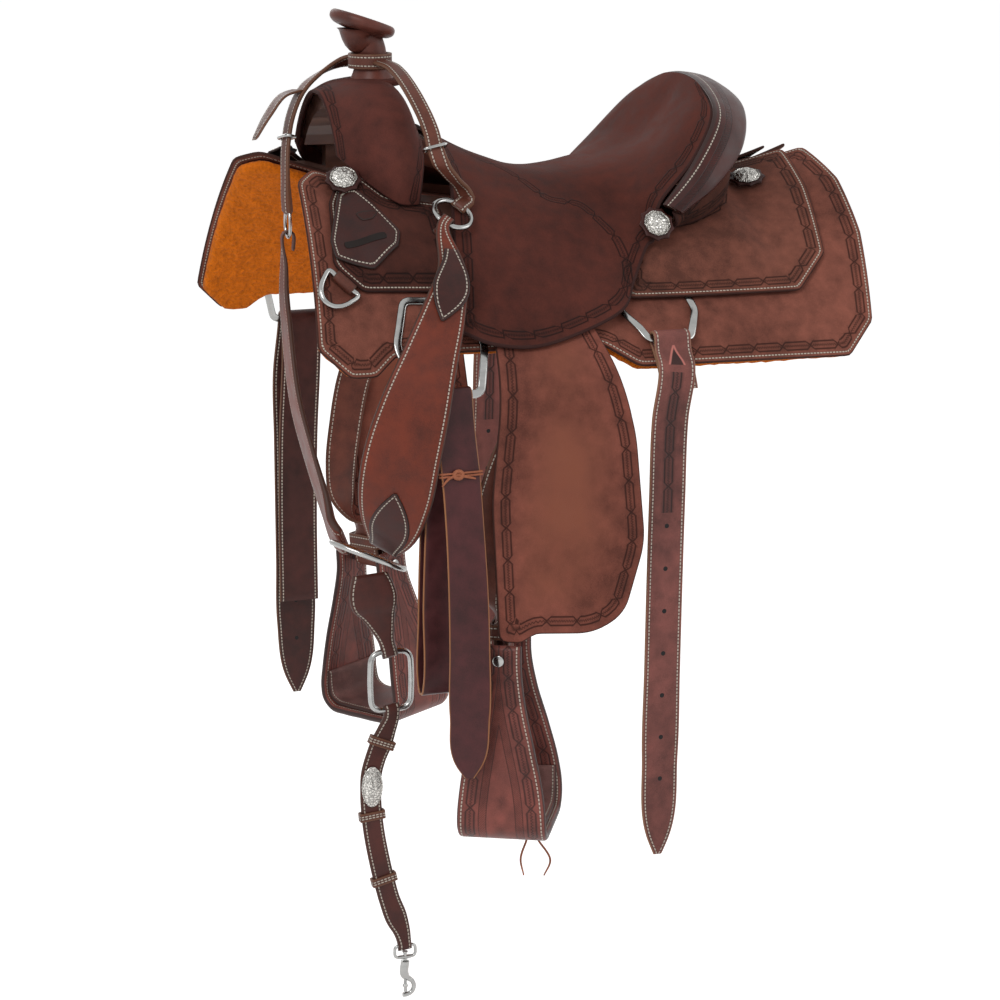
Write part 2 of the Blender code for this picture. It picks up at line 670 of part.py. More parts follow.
def wall_frame(y, up, lift, surface=on_bars):
    """A place on a leather and the two directions in its face and the one out of it."""
    step = 0.004
    here = surface(y, up, lift)
    ahead = unit(surface(y + step, up, lift) - here)
    above = unit(surface(y, up + step, lift) - here)
    out = unit(np.cross(ahead, above))
    if out[0] * np.sign(here[0]) < 0:
        out = -out
    return here, ahead, above, out


def scalloped(radius, depth, lobes):
    """A flat round outline with even scallops."""
    angle = 2.0 * np.pi * np.arange(lobes * 2) / (lobes * 2)
    edge = radius - depth * np.abs(np.cos(angle * lobes / 2.0))
    return np.stack([edge * np.cos(angle), edge * np.sin(angle)], axis=1)


def seat_frame(row, column, lift):
    """A place at the seat leather's rear corner, tilted between the jockey and the cantle's side."""
    ahead, above, out = wall_frame(0.135, 0.150, 0.0)[1:]
    above = unit(above + SEAT_CONCHO_TILT * out)
    out = np.cross(ahead, above) * np.sign(np.dot(out, np.cross(ahead, above)))
    return seat_grid([row], [column])[0, 0] + out * lift, ahead, above, out


FRONT_CONCHO = (-0.232, 0.236, FRONT_JOCKEY_LIFT + JOCKEY_THICK + STRAP_THICK * 0.8 + 0.0024)
SEAT_CONCHO_TILT = 0.48
SEAT_CONCHO = (3.82, 2.88, SEAT_THICK + 0.0104)
REAR_CONCHO = (0.290, 0.262, JOCKEY_LIFT + JOCKEY_THICK + 0.0048)
CONCHO_RADIUS = 0.0160
ROSETTE_RADIUS = 0.0215
ROSETTE_THICK = 0.0026
CONCHO_LOBES = 9
CONCHO_DOME = ((1.0, 0.0), (1.0, 0.0014), (0.78, 0.0040), (0.42, 0.0072))


def build_conchos():
    """Three conchos a side, each a silver dome riveted to its scalloped leather rosette."""
    edge = scalloped(ROSETTE_RADIUS, 0.0030, CONCHO_LOBES)
    circle = unit(edge) * CONCHO_RADIUS
    frames = {"front_concho": wall_frame(*FRONT_CONCHO), "seat_concho": seat_frame(*SEAT_CONCHO),
              "rear_concho": wall_frame(*REAR_CONCHO)}
    for name, (here, ahead, above, out) in frames.items():
        levels = [(edge, 0.0), (edge, ROSETTE_THICK)]
        levels += [(circle * share, ROSETTE_THICK + high) for share, high in CONCHO_DOME]
        sections = [here + flat[:, :1] * ahead + flat[:, 1:] * above + out * high for flat, high in levels]
        place_both(name, loft(sections), "silver")


def eye(outer, inner):
    """A body between two closed outlines, both given as a pair of rings: the near ends and the far ends."""
    return loft([outer[0], outer[1], inner[1], inner[0]], True)


def arc(centre, radius, first, second, start, stop, count):
    """Points on an arc from angle start to stop in degrees, in the plane of the two unit directions."""
    angle = np.radians(np.linspace(start, stop, count))[:, None]
    return np.array(centre) + radius * (np.cos(angle) * np.array(first) + np.sin(angle) * np.array(second))


PLATE_LOW = SKIRT_THICK + 0.0007
PLATE_THICK = 0.0030
PLATE_WIDTH = 0.0090
FRONT_DEE = [(-0.196, 0.085, 0.012), (-0.215, 0.030, 0.030), (-0.197, -0.026, 0.010),
             (-0.129, -0.026, 0.010), (-0.113, 0.030, 0.030), (-0.130, 0.085, 0.012)]
FRONT_DEE_BAR = (-0.163, -0.026)
REAR_DEE = [(0.066, 0.100, 0.016), (0.061, 0.066, 0.030), (0.079, 0.023, 0.008), (0.131, 0.023, 0.008),
            (0.152, 0.066, 0.030), (0.146, 0.100, 0.016)]
REAR_DEE_BAR = (0.105, 0.023)
REAR_DEE_RISE = 0.0074


def dee_lift(up):
    """Mid height of the rear dee over the skirt: it stands off towards its lower bar, where the billet is."""
    return PLATE_LOW + PLATE_THICK / 2 + REAR_DEE_RISE * smoothstep((0.074 - up) / 0.040)


def build_rigging():
    """The flat steel dees that carry the front cinch and the rear cinch."""
    for name, corners in (("front_rigging", FRONT_DEE), ("rear_rigging", REAR_DEE)):
        middle = rounded(corners, 0.020, 3)
        lift = dee_lift(middle[:, 1]) if name == "rear_rigging" else PLATE_LOW + PLATE_THICK / 2
        run = unit(np.roll(middle, -1, axis=0) - np.roll(middle, 1, axis=0))
        side = np.stack([run[:, 1], -run[:, 0]], axis=1)
        section = [(1.0, 0.0), (0.6, 1.0), (-0.6, 1.0), (-1.0, 0.0), (-0.6, -1.0), (0.6, -1.0)]
        rings = []
        for wide, high in section:
            at = middle + side * wide * PLATE_WIDTH / 2
            rings.append(flank(at[:, 0], at[:, 1], lift + high * PLATE_THICK / 2))
        place_both(name, loft(np.stack(rings, axis=1), True), "steel")


def hung(bar, radius, front, behind, width, thick, across=(0.0, 1.0, 0.0)):
    """A strap folded over a bar: up along the front points, round the bar and down along those behind."""
    out = np.array([1.0, 0.0, 0.0])
    up = np.array([0.0, 0.0, 1.0])
    path = np.vstack([front, arc(bar, radius, out, up, -8.0, 188.0, 7), behind])
    return strap(path, across, width, thick)


LATIGO_THICK = 0.0028
BILLET_THICK = 0.0034
FRONT_WRAP = 0.0075
REAR_WRAP = 0.0072


def pointed(count, width, tip, ends=2):
    """A width at every path point, drawn in to the tip's width over the first points."""
    widths = np.full(count, width)
    widths[:ends] = np.linspace(tip, width, ends + 1)[:-1]
    return widths


def build_cinch_straps():
    """Latigo and billet at the front and the two rear billets, each folded over the bar of its dee."""
    bar = flank(*FRONT_DEE_BAR, PLATE_LOW + PLATE_THICK / 2)
    front = [(0.3480, -0.1690, -0.578), (0.3465, -0.1690, -0.566), (0.3410, -0.1660, -0.510),
             (0.3320, -0.1625, -0.440), (0.3230, -0.1605, -0.380), (0.3130, -0.1605, -0.310),
             (0.3030, -0.1615, -0.250), (0.2920, -0.1628, -0.205)]
    turn = arc((bar[0] - 0.0160, -0.1728, -0.496), 0.0080, (1.0, 0.0, 0.0), (0.0, 0.0, -1.0), 0.0, 180.0, 5)
    behind = np.vstack([[bar + (-0.0070, 0.0, -0.025), (bar[0] - 0.0075, -0.1668, -0.270),
                         (bar[0] - 0.0080, -0.1718, -0.400)], turn,
                        [(bar[0] - 0.0240, -0.1722, -0.420), (bar[0] - 0.0210, -0.1690, -0.300),
                         (bar[0] - 0.0180, -0.1650, -0.240)]])
    count = len(front) + 7 + len(behind)
    face = np.tile((0.0, 1.0, 0.0), (count, 1))
    face[:5] = (0.50, 0.87, 0.0), (0.50, 0.87, 0.0), (0.45, 0.89, 0.0), (0.32, 0.95, 0.0), (0.15, 0.99, 0.0)
    latigo = hung(bar, FRONT_WRAP, front, behind, pointed(count, LATIGO_WIDTH, 0.010), LATIGO_THICK, face)
    place("latigo", latigo, "dark_leather", bar)

    x = bar[0] + FRONT_WRAP
    front = [(x, bar[1] - 0.008, z) for z in (-0.655, -0.633, -0.560, -0.480, -0.400, -0.320, -0.240)]
    behind = [bar + (-FRONT_WRAP, 0.0, -0.03), (bar[0] - FRONT_WRAP, bar[1] - 0.006, -0.320),
              (bar[0] - FRONT_WRAP, bar[1] - 0.008, -0.420), (bar[0] - FRONT_WRAP, bar[1] - 0.008, -0.530)]
    count = len(front) + 7 + len(behind)
    billet = hung(bar, FRONT_WRAP, front, behind, pointed(count, OFF_BILLET_WIDTH, 0.010), BILLET_THICK)
    place("off_billet", billet.mirrored(), "smooth_leather", bar * (-1, 1, 1))

    bar = flank(*REAR_DEE_BAR, dee_lift(REAR_DEE_BAR[1]))
    hem = flank(REAR_DEE_BAR[0], -0.005, SKIRT_THICK + 0.0032)
    front = [(0.2860, 0.0840, -0.718), (0.2858, 0.0845, -0.698), (0.2850, 0.0860, -0.600),
             (0.2840, 0.0880, -0.500), (0.2830, 0.0900, -0.400), (0.2820, 0.0925, -0.300),
             (0.2810, 0.0955, -0.210), hem + (0.0080, -0.0015, 0.0), bar + (REAR_WRAP + 0.0020, 0.0, -0.012)]
    on_skirt = SKIRT_THICK + 2.5 * GAP + BILLET_THICK / 2
    low = flank(REAR_DEE_BAR[0], np.array([0.012, -0.008, -0.034]), on_skirt)
    count = len(front) + 7 + len(low)
    billet = hung(bar, REAR_WRAP, front, low, pointed(count, BILLET_WIDTH, 0.010), BILLET_THICK)
    place_both("rear_billet", billet, "smooth_leather", bar)


TAB_DEPTH = 0.0100
TAB_WIDTH = 0.0260
TAB_LEATHER = 0.0026
DEE_WIRE = 0.0030
DEE_HALF = 0.0205
DEE_REACH = 0.0330
TAB_EDGE = ((-0.271, 0.126), (-0.241, 0.094))


def tab_frame():
    """The dee's bar on the collar tab: its centre, its direction, the way the dee hangs and the way out."""
    first, last = (np.array(p) for p in TAB_EDGE)
    along_edge = unit(last - first)
    away = np.array([along_edge[1], -along_edge[0]])
    middle = (first + last) / 2 + away * TAB_DEPTH
    height = PLATE_LOW + TAB_LEATHER + GAP + DEE_WIRE
    here, ahead, above, out = wall_frame(*middle, height, on_flank)
    bar = unit(ahead * along_edge[0] + above * along_edge[1])
    hang = unit(ahead * away[0] + above * away[1])
    return here, bar, unit(hang - bar * np.dot(hang, bar)), out


def build_collar_dees():
    """The dees at the front corners for the breast collar's straps, and the tabs that hold them."""
    here, bar, hang, out = tab_frame()
    inner = DEE_WIRE + GAP
    outer = inner + TAB_LEATHER
    turn = np.radians(np.linspace(-90.0, 90.0, 7))
    hole = [(inner * np.cos(a), inner * np.sin(a)) for a in turn]
    hole += [(inner * np.cos(a), inner * np.sin(a)) for a in np.radians([120.0, 150.0, 180.0, 210.0, 240.0])]
    skin = [(outer * np.cos(a), outer * np.sin(a)) for a in turn]
    skin += [(-0.003, 0.95 * outer), (-0.006, 0.62 * outer), (0.0014 - TAB_DEPTH, 0.05 * outer),
             (0.0014 - TAB_DEPTH, -outer), (-0.004, -outer)]
    rings = []
    for outline in (skin, hole):
        flat = np.array(outline)
        for end in (-TAB_WIDTH / 2, TAB_WIDTH / 2):
            rings.append(here + flat[:, :1] * hang + flat[:, 1:] * out + end * bar)
    place_both("collar_tab", eye(rings[:2], rings[2:]), "smooth_leather")
    bend = np.radians(np.linspace(0.0, 180.0, 11))
    bow = [(DEE_HALF * np.cos(a), DEE_REACH * np.sin(a)**0.9) for a in bend]
    flat = np.array(bow + [(-0.5 * DEE_HALF, 0.0), (0.5 * DEE_HALF, 0.0)])
    lean = unit(hang - out * 0.07)
    path = here + flat[:, :1] * bar + flat[:, 1:] * lean
    place_both("collar_dee", wire(path, DEE_WIRE, np.cross(bar, lean)), "steel", here)


FENDER_PIVOT = (-0.050, 0.060)
STIRRUP_TURN = 30.0
BOLT_CENTRE = np.array([0.2765, -0.101, -0.459])
BOLT_RADIUS = 0.0039
BOLT_CLEARANCE = 0.0004
STIRRUP_HALF_TOP = 0.0360
STIRRUP_DROP = 0.199
STIRRUP_THICK = 0.0090
LEATHER_WIDTH = 0.0430
LEATHER_THICK = 0.0034
OFF_SWING = 5.5
OFF_DROP = 0.026


def stirrup_axes():
    """The stirrup's directions: along its bolt and fore and aft through its opening."""
    turn = np.radians(STIRRUP_TURN)
    return np.array([np.cos(turn), -np.sin(turn), 0.0]), np.array([np.sin(turn), np.cos(turn), 0.0])


def swung_back(solid, degrees):
    """The near solid swung back about the fender's pivot, as the off side hangs."""
    here, *_, out = wall_frame(*FENDER_PIVOT, FENDER_LIFT, on_flank)
    angle = np.radians(degrees)
    arm = solid.points - here
    turned_arm = (arm * np.cos(angle) + np.cross(out, arm) * np.sin(angle)
                  + out * (arm @ out)[:, None] * (1 - np.cos(angle)))
    return Solid(here + turned_arm, solid.faces)


def let_down(points):
    """The off leather is buckled a hole lower: points low on it move down with the stirrup."""
    return points - (0, 0, OFF_DROP) * smoothstep((-0.200 - points[:, 2:]) / 0.160)


def off_side(solid, drop=True):
    """The near solid as it hangs on the off side: lower, swung back and mirrored."""
    lower = Solid(let_down(solid.points), solid.faces) if drop else solid
    return swung_back(lower, OFF_SWING).mirrored()


def place_swung(name, solid, finish, pivot, drop=True):
    """The near solid, and the off one hanging a little further back."""
    near = place(name + "_near", solid, finish, pivot)
    point = off_side(Solid([pivot] * 3, [(0, 1, 2)]), drop).points[0]
    off = place(name + "_off", off_side(solid, drop), finish, point)
    return near, off


def build_fenders():
    """Fenders and the stirrup leathers behind them."""
    pivot = flank(*FENDER_PIVOT, FENDER_LIFT)
    fender = panel(rounded(FENDER, 0.020), on_flank, FENDER_LIFT, FENDER_LIFT + FENDER_THICK)
    place_swung("fender", fender, "roughout", pivot, False)

    ups = np.array([0.056, 0.030, 0.004, -0.030, -0.070, -0.110, -0.150, -0.190])
    centres = np.array([-0.046, -0.050, -0.056, -0.066, -0.086, -0.105, -0.118, -0.128])
    sunk = np.array([0.0, 0.0, 0.0006, 0.0030, 0.0030, 0.0028, 0.0048, 0.0085])
    lying = flank(centres, ups, LEATHER_LIFT + LEATHER_THICK / 2 - sunk)
    ahead = stirrup_axes()[1]
    up = np.array([0.0, 0.0, 1.0])
    wrap = BOLT_RADIUS + GAP + LEATHER_THICK / 2
    before = BOLT_CENTRE - ahead * (wrap + 0.0016)
    after = BOLT_CENTRE + ahead * (wrap + 0.0004)
    falling = [(0.2850, -0.1300, -0.370), (0.2800, -0.1235, -0.398), before + up * 0.040, before + up * 0.018]
    round_bolt = arc(BOLT_CENTRE, wrap, -ahead, -up, -10.0, 190.0, 7)
    path = np.vstack([lying, falling, round_bolt, [after + up * 0.020, after + up * 0.036]])
    twist = [4.0, 10.0, 30.0, 72.0]
    turn = np.concatenate([np.zeros(6), twist, np.full(len(path) - 10, 90.0 + STIRRUP_TURN)])
    turn = np.radians(turn)
    across = np.stack([np.sin(turn), np.cos(turn), 0.0 * turn], axis=1)
    width = np.concatenate([[0.040, 0.040, 0.042], np.full(len(path) - 3, LEATHER_WIDTH)])
    place_swung("stirrup_leather", strap(path, across, width, LEATHER_THICK), "smooth_leather", pivot)


def stirrup_band():
    """The stirrup's bent wood in its leather cover: from one leg's top round the tread to the other's."""
    along_bolt, ahead = stirrup_axes()
    half = [(STIRRUP_HALF_TOP, 0.016), (STIRRUP_HALF_TOP + 0.001, -0.010), (0.0450, -0.050), (0.0560, -0.100),
            (0.0630, -0.145), (0.0660, -0.170), (0.0640, -0.185), (0.0530, -0.1965), (0.0300, -STIRRUP_DROP)]
    flat = np.array(half + [(0.0, -STIRRUP_DROP)] + [(-a, z) for a, z in half[::-1]])
    depth = smoothstep(-flat[:, 1] / 0.185)
    width = 0.050 + 0.050 * depth
    path = BOLT_CENTRE + flat[:, :1] * along_bolt + flat[:, 1:] * (0, 0, 1) + (0.007 * depth)[:, None] * ahead
    return strap(path, ahead, width, STIRRUP_THICK)


def build_stirrups():
    """Stirrups, the bolts they swing on and the hobble straps that hold each leather together above them."""
    along_bolt, ahead = stirrup_axes()
    up = np.array([0.0, 0.0, 1.0])
    reach = STIRRUP_HALF_TOP + STIRRUP_THICK / 2
    band = place_swung("stirrup", stirrup_band(), "dark_leather", BOLT_CENTRE)
    bore = wire([BOLT_CENTRE - along_bolt * 0.06, BOLT_CENTRE + along_bolt * 0.06],
                BOLT_RADIUS + BOLT_CLEARANCE, up, False, 12)
    bored(band[0], bore, "stirrup_bore_near")
    bored(band[1], off_side(bore), "stirrup_bore_off")
    head = 0.0062
    profile = [(0.0, 0.0), (head, 0.0), (head, 0.0028), (BOLT_RADIUS, 0.0028),
               (BOLT_RADIUS, 2 * reach + 0.0060), (head, 2 * reach + 0.0060), (head, 2 * reach + 0.0088),
               (0.0, 2 * reach + 0.0088)]
    start = BOLT_CENTRE - along_bolt * (reach + 0.0044)
    place_swung("stirrup_bolt", turned(profile, start, along_bolt, 14), "steel", BOLT_CENTRE)

    centre = BOLT_CENTRE + up * 0.0270 - ahead * 0.0006
    rings = []
    for wide, deep in ((LEATHER_WIDTH / 2 + 0.0036, 0.0127), (LEATHER_WIDTH / 2 + 0.0011, 0.0101)):
        outline = rounded([(-wide, -deep), (wide, -deep), (wide, deep), (-wide, deep)], 0.004, 3)
        for level in (-0.0085, 0.0085):
            rings.append(centre + outline[:, :1] * along_bolt + outline[:, 1:] * ahead + up * level)
    place_swung("hobble", eye(rings[:2], rings[2:]), "smooth_leather", BOLT_CENTRE)


RING_RADIUS = 0.0220
RING_WIRE = 0.0030
LINK_WIRE = 0.0020
LINK_HALF = (0.0100, 0.0165)
BUCKLE_WIRE = 0.0018
BUCKLE_HALF = (0.0125, 0.0055)
TUG_WIDTH = 0.0190
HORN_BAND_Z = 0.1735
HUB = np.array([0.200, -0.234, -0.356])
HUB_ALONG = unit(np.array([0.333, 0.869, -0.360]))
HUB_HALF = (0.0430, 0.0240)
OFF_RING = np.array([0.000, -0.2600, -0.008])


def near_ring_frame():
    """Centre of the near collar ring, the way to the collar, the way along the wire there and the way out."""
    here, *_, out = wall_frame(-0.122, 0.170, 0.0362)
    down = np.array([0.60, -0.66, -0.456])
    down = unit(down - out * np.dot(down, out))
    return here, down, np.cross(out, down), out


def oval(centre, first, second, reach, count):
    """A closed oval round the centre with the two unit directions and half lengths."""
    angle = 2.0 * np.pi * np.arange(count)[:, None] / count
    return centre + reach[0] * np.cos(angle) * np.array(first) + reach[1] * np.sin(angle) * np.array(second)


def hub_frame():
    """The second direction of the hub ring and the normal of its plane."""
    view = np.array([0.910, -0.349, 0.225])
    second = unit(view - HUB_ALONG * np.dot(view, HUB_ALONG))
    return second, np.cross(HUB_ALONG, second)


def build_horn_straps():
    """The band round the horn and the two tug straps from it to the collar rings, with their buckles."""
    centre = np.array([0.0, HORN_Y - 0.0010, HORN_BAND_Z])
    up = np.array([0.0, 0.0, 1.0])
    rings = []
    for radius in (0.0251, 0.0221):
        for level in (-0.0075, 0.0075):
            rings.append(oval(centre + up * level, (1.0, 0.0, 0.0), (0.0, 1.0, 0.0), (radius, radius), 20))
    band = eye(rings[:2], rings[2:])

    ring, down, side, out = near_ring_frame()
    start = centre + (0.0235, 0.004, 0.0)
    path = along([start, (0.062, -0.150, 0.168), (0.108, -0.146, 0.146), (0.146, -0.140, 0.112),
                  (0.166, -0.134, 0.074), ring - down * (RING_RADIUS + 0.016) + out * 0.004,
                  ring - down * (RING_RADIUS - 0.0075)], 16)
    across = np.linspace((0.0, 1.0, 0.10), side, len(path))
    across = np.where((across @ np.array([0.0, 1.0, 0.0]))[:, None] < 0, -across, across)
    thick = np.concatenate([np.full(12, 0.0050), [0.0060, 0.0080, 0.0104, 0.0104]])
    near = strap(path, across, TUG_WIDTH, thick)
    near_frame = path[9], path[10] - path[8], across[9]
    wire_path = oval(ring, down, side, (RING_RADIUS, RING_RADIUS), 18)

    start = centre + (-0.0235, -0.002, 0.0)
    path = along([start, (-0.036, -0.183, 0.1690), (-0.037, -0.206, 0.1580), (-0.031, -0.230, 0.1410),
                  (-0.018, -0.249, 0.1120), (-0.007, -0.259, 0.0760), (0.0, -0.262, 0.0400),
                  OFF_RING + (0.0, 0.0, LINK_HALF[1] - 0.0070)], 16)
    across = np.linspace((0.55, -0.2, 0.80), (1.0, 0.10, 0.0), 7)
    across = np.vstack([across, np.tile((1.0, 0.10, 0.0), (len(path) - 7, 1))])
    thick = np.concatenate([np.full(13, 0.0050), [0.0060, 0.0090, 0.0090]])
    far = strap(path, across, TUG_WIDTH, thick)
    off_frame = path[10], path[11] - path[9], across[10]
    tail = strap([(-0.030, -0.2350, 0.1400), (-0.022, -0.2560, 0.1350), (-0.009, -0.2790, 0.1140),
                  (0.0, -0.2980, 0.0880)], (1.0, 0.10, 0.0), (TUG_WIDTH, TUG_WIDTH, TUG_WIDTH, 0.010), 0.0030)
    link = oval(OFF_RING, (1.0, 0.0, 0.0), (0.0, 0.0, 1.0), LINK_HALF, 16)
    item = place("horn_strap", band, "smooth_leather")
    joined(item, [near, far, tail], "horn_strap_end")
    bored(item, wire(wire_path, RING_WIRE + GAP, out, True, 6), "near_ring_way")
    bored(item, wire(link, LINK_WIRE + GAP, (0.0, 1.0, 0.0), True, 6), "off_ring_way")
    place("collar_ring_near", wire(wire_path, RING_WIRE, out, True, 6), "steel")
    place("collar_ring_off", wire(link, LINK_WIRE, (0.0, 1.0, 0.0), True, 6), "steel")

    half_wide, half_deep = BUCKLE_HALF
    corners = [(-half_wide, -half_deep), (half_wide, -half_deep), (half_wide, half_deep),
               (-half_wide, half_deep)]
    outline = rounded(corners, 0.003, 3)
    for name, (at, run, wide) in (("tug_buckle_near", near_frame), ("tug_buckle_off", off_frame)):
        run = unit(run)
        wide = unit(wide - run * np.dot(wide, run))
        frame = at + outline[:, :1] * wide + outline[:, 1:] * np.cross(run, wide)
        place(name, wire(frame, BUCKLE_WIRE, run, True, 6), "steel")


COLLAR_LOOP = 0.0058
COLLAR_LOOP_WIDTH = 0.0140
LINK_LOOP = 0.0071
COLLAR_THICK = 0.0056
TUG_RING = np.array([0.200, -0.2085, -0.503])
TUG_RING_HALF = (0.0238, 0.0338)
TUG_RING_WIRE = 0.0032
TUG_LOOP_WIDTH = 0.0190
TUG_LOOP = TUG_RING_WIRE + GAP
TUG_END = 0.0062
SNAP_TOP = np.array([0.200, -0.194, -0.822])
SNAP_WIRE = 0.0018
SNAP_EYE_HALF = (0.0125, 0.0070)
SNAP_POST = 0.0020
SNAP_BARREL = 0.0050
SNAP_PIN = 0.0018


def build_collar():
    """The breast collar: a branch from each collar ring to the hub ring, and the tug below the hub."""
    ring, down, side, out = near_ring_frame()
    wire_at = ring + down * RING_RADIUS
    radius = COLLAR_LOOP + 0.0015
    end = [wire_at + down * 0.016 - out * radius * 0.75, wire_at + down * 0.008 - out * radius]
    turn = arc(wire_at, radius, -down, out, -82.0, 82.0, 9)
    body = [(0.246, -0.150, -0.038), (0.272, -0.170, -0.078), (0.290, -0.192, -0.122),
            (0.298, -0.211, -0.170), (0.293, -0.225, -0.225), (0.276, -0.228, -0.275),
            (0.246, -0.2245, -0.320), (0.218, -0.2215, -0.345)]
    path = np.vstack([end, turn, [wire_at + down * 0.010 + out * radius], body])
    normals = np.vstack([np.tile(out, (12, 1)), np.linspace(out, (0.86, -0.50, 0.10), len(body))])
    swell = [0.0040] + [COLLAR_THICK] * 4 + [0.0070, 0.0100, 0.0104]
    run = unit(np.gradient(path, axis=0))
    across = np.cross(normals, run)
    across[:12] = side * np.sign(np.dot(across[-1], side))
    spread = [0.036, 0.050, 0.062, 0.076, 0.084, 0.082, 0.062, 0.034]
    width = np.concatenate([np.full(12, COLLAR_LOOP_WIDTH), spread])
    thick = np.concatenate([np.full(12, 0.0028), swell])
    near = place("collar_near", strap(path, across, width, thick), "smooth_leather")

    low = OFF_RING - (0.0, 0.0, LINK_HALF[1])
    turn = arc(low, LINK_LOOP, (0.0, 0.0, 1.0), (0.0, -1.0, 0.0), -90.0, 90.0, 7)
    body = [(0.002, -0.266, -0.053), (0.004, -0.267, -0.085), (0.010, -0.266, -0.129),
            (0.034, -0.264, -0.211), (0.072, -0.258, -0.273), (0.108, -0.254, -0.315),
            (0.140, -0.254, -0.339), (0.172, -0.253, -0.346)]
    end = [low + (0.0, 0.80 * LINK_LOOP, -0.016), low + (0.0, 0.94 * LINK_LOOP, -0.007)]
    path = np.vstack([end, turn, [low + (0.0, -0.94 * LINK_LOOP, -0.010)], body])
    leaning = np.linspace((1.0, -0.05, 0.1), (0.80, -0.30, 0.60), len(body))
    across = np.vstack([np.tile((1.0, 0.0, 0.0), (10, 1)), leaning])
    spread = [0.024, 0.036, 0.052, 0.070, 0.080, 0.078, 0.056, 0.034]
    width = np.concatenate([np.full(10, 0.0090), spread])
    thick = np.concatenate([np.full(10, 0.0024), swell])
    far = place("collar_off", strap(path, across, width, thick), "smooth_leather")

    second, normal = hub_frame()
    hub = oval(HUB, HUB_ALONG, second, HUB_HALF, 22)
    place("hub_ring", wire(hub, TUG_RING_WIRE, normal, True, 6), "steel")
    way = wire(hub, TUG_RING_WIRE + GAP, normal, True, 6)
    bored(near, way, "near_hub_way")
    bored(far, way, "off_hub_way")

    top = HUB + np.array([0.012, -0.002, -0.018])
    low = TUG_RING + (0.0, 0.0, TUG_RING_HALF[1] - TUG_END)
    path = along([top, top + (0.004, 0.003, -0.030), (0.206, -0.222, -0.430), low], 8)
    width = np.array([0.040, 0.050, 0.054, 0.050, 0.040, 0.030, TUG_LOOP_WIDTH, TUG_LOOP_WIDTH])
    thick = np.array([0.0104, 0.0090, 0.0060, 0.0052, 0.0052, 0.0070, 0.0116, 0.0116])
    place("hub_tug", strap(path, (0.10, 1.0, -0.10), width, thick), "dark_leather")


def straight_ring(centre, half, corner, count):
    """An upright ring in the plane across the horse's side: an oval whose top and bottom run straight."""
    y, z = half
    corners = [(-y, -z), (y, -z), (y, z), (-y, z)]
    flat = rounded(corners, corner, count)
    return centre + np.stack([0.0 * flat[:, 0], flat[:, 0], flat[:, 1]], axis=1)


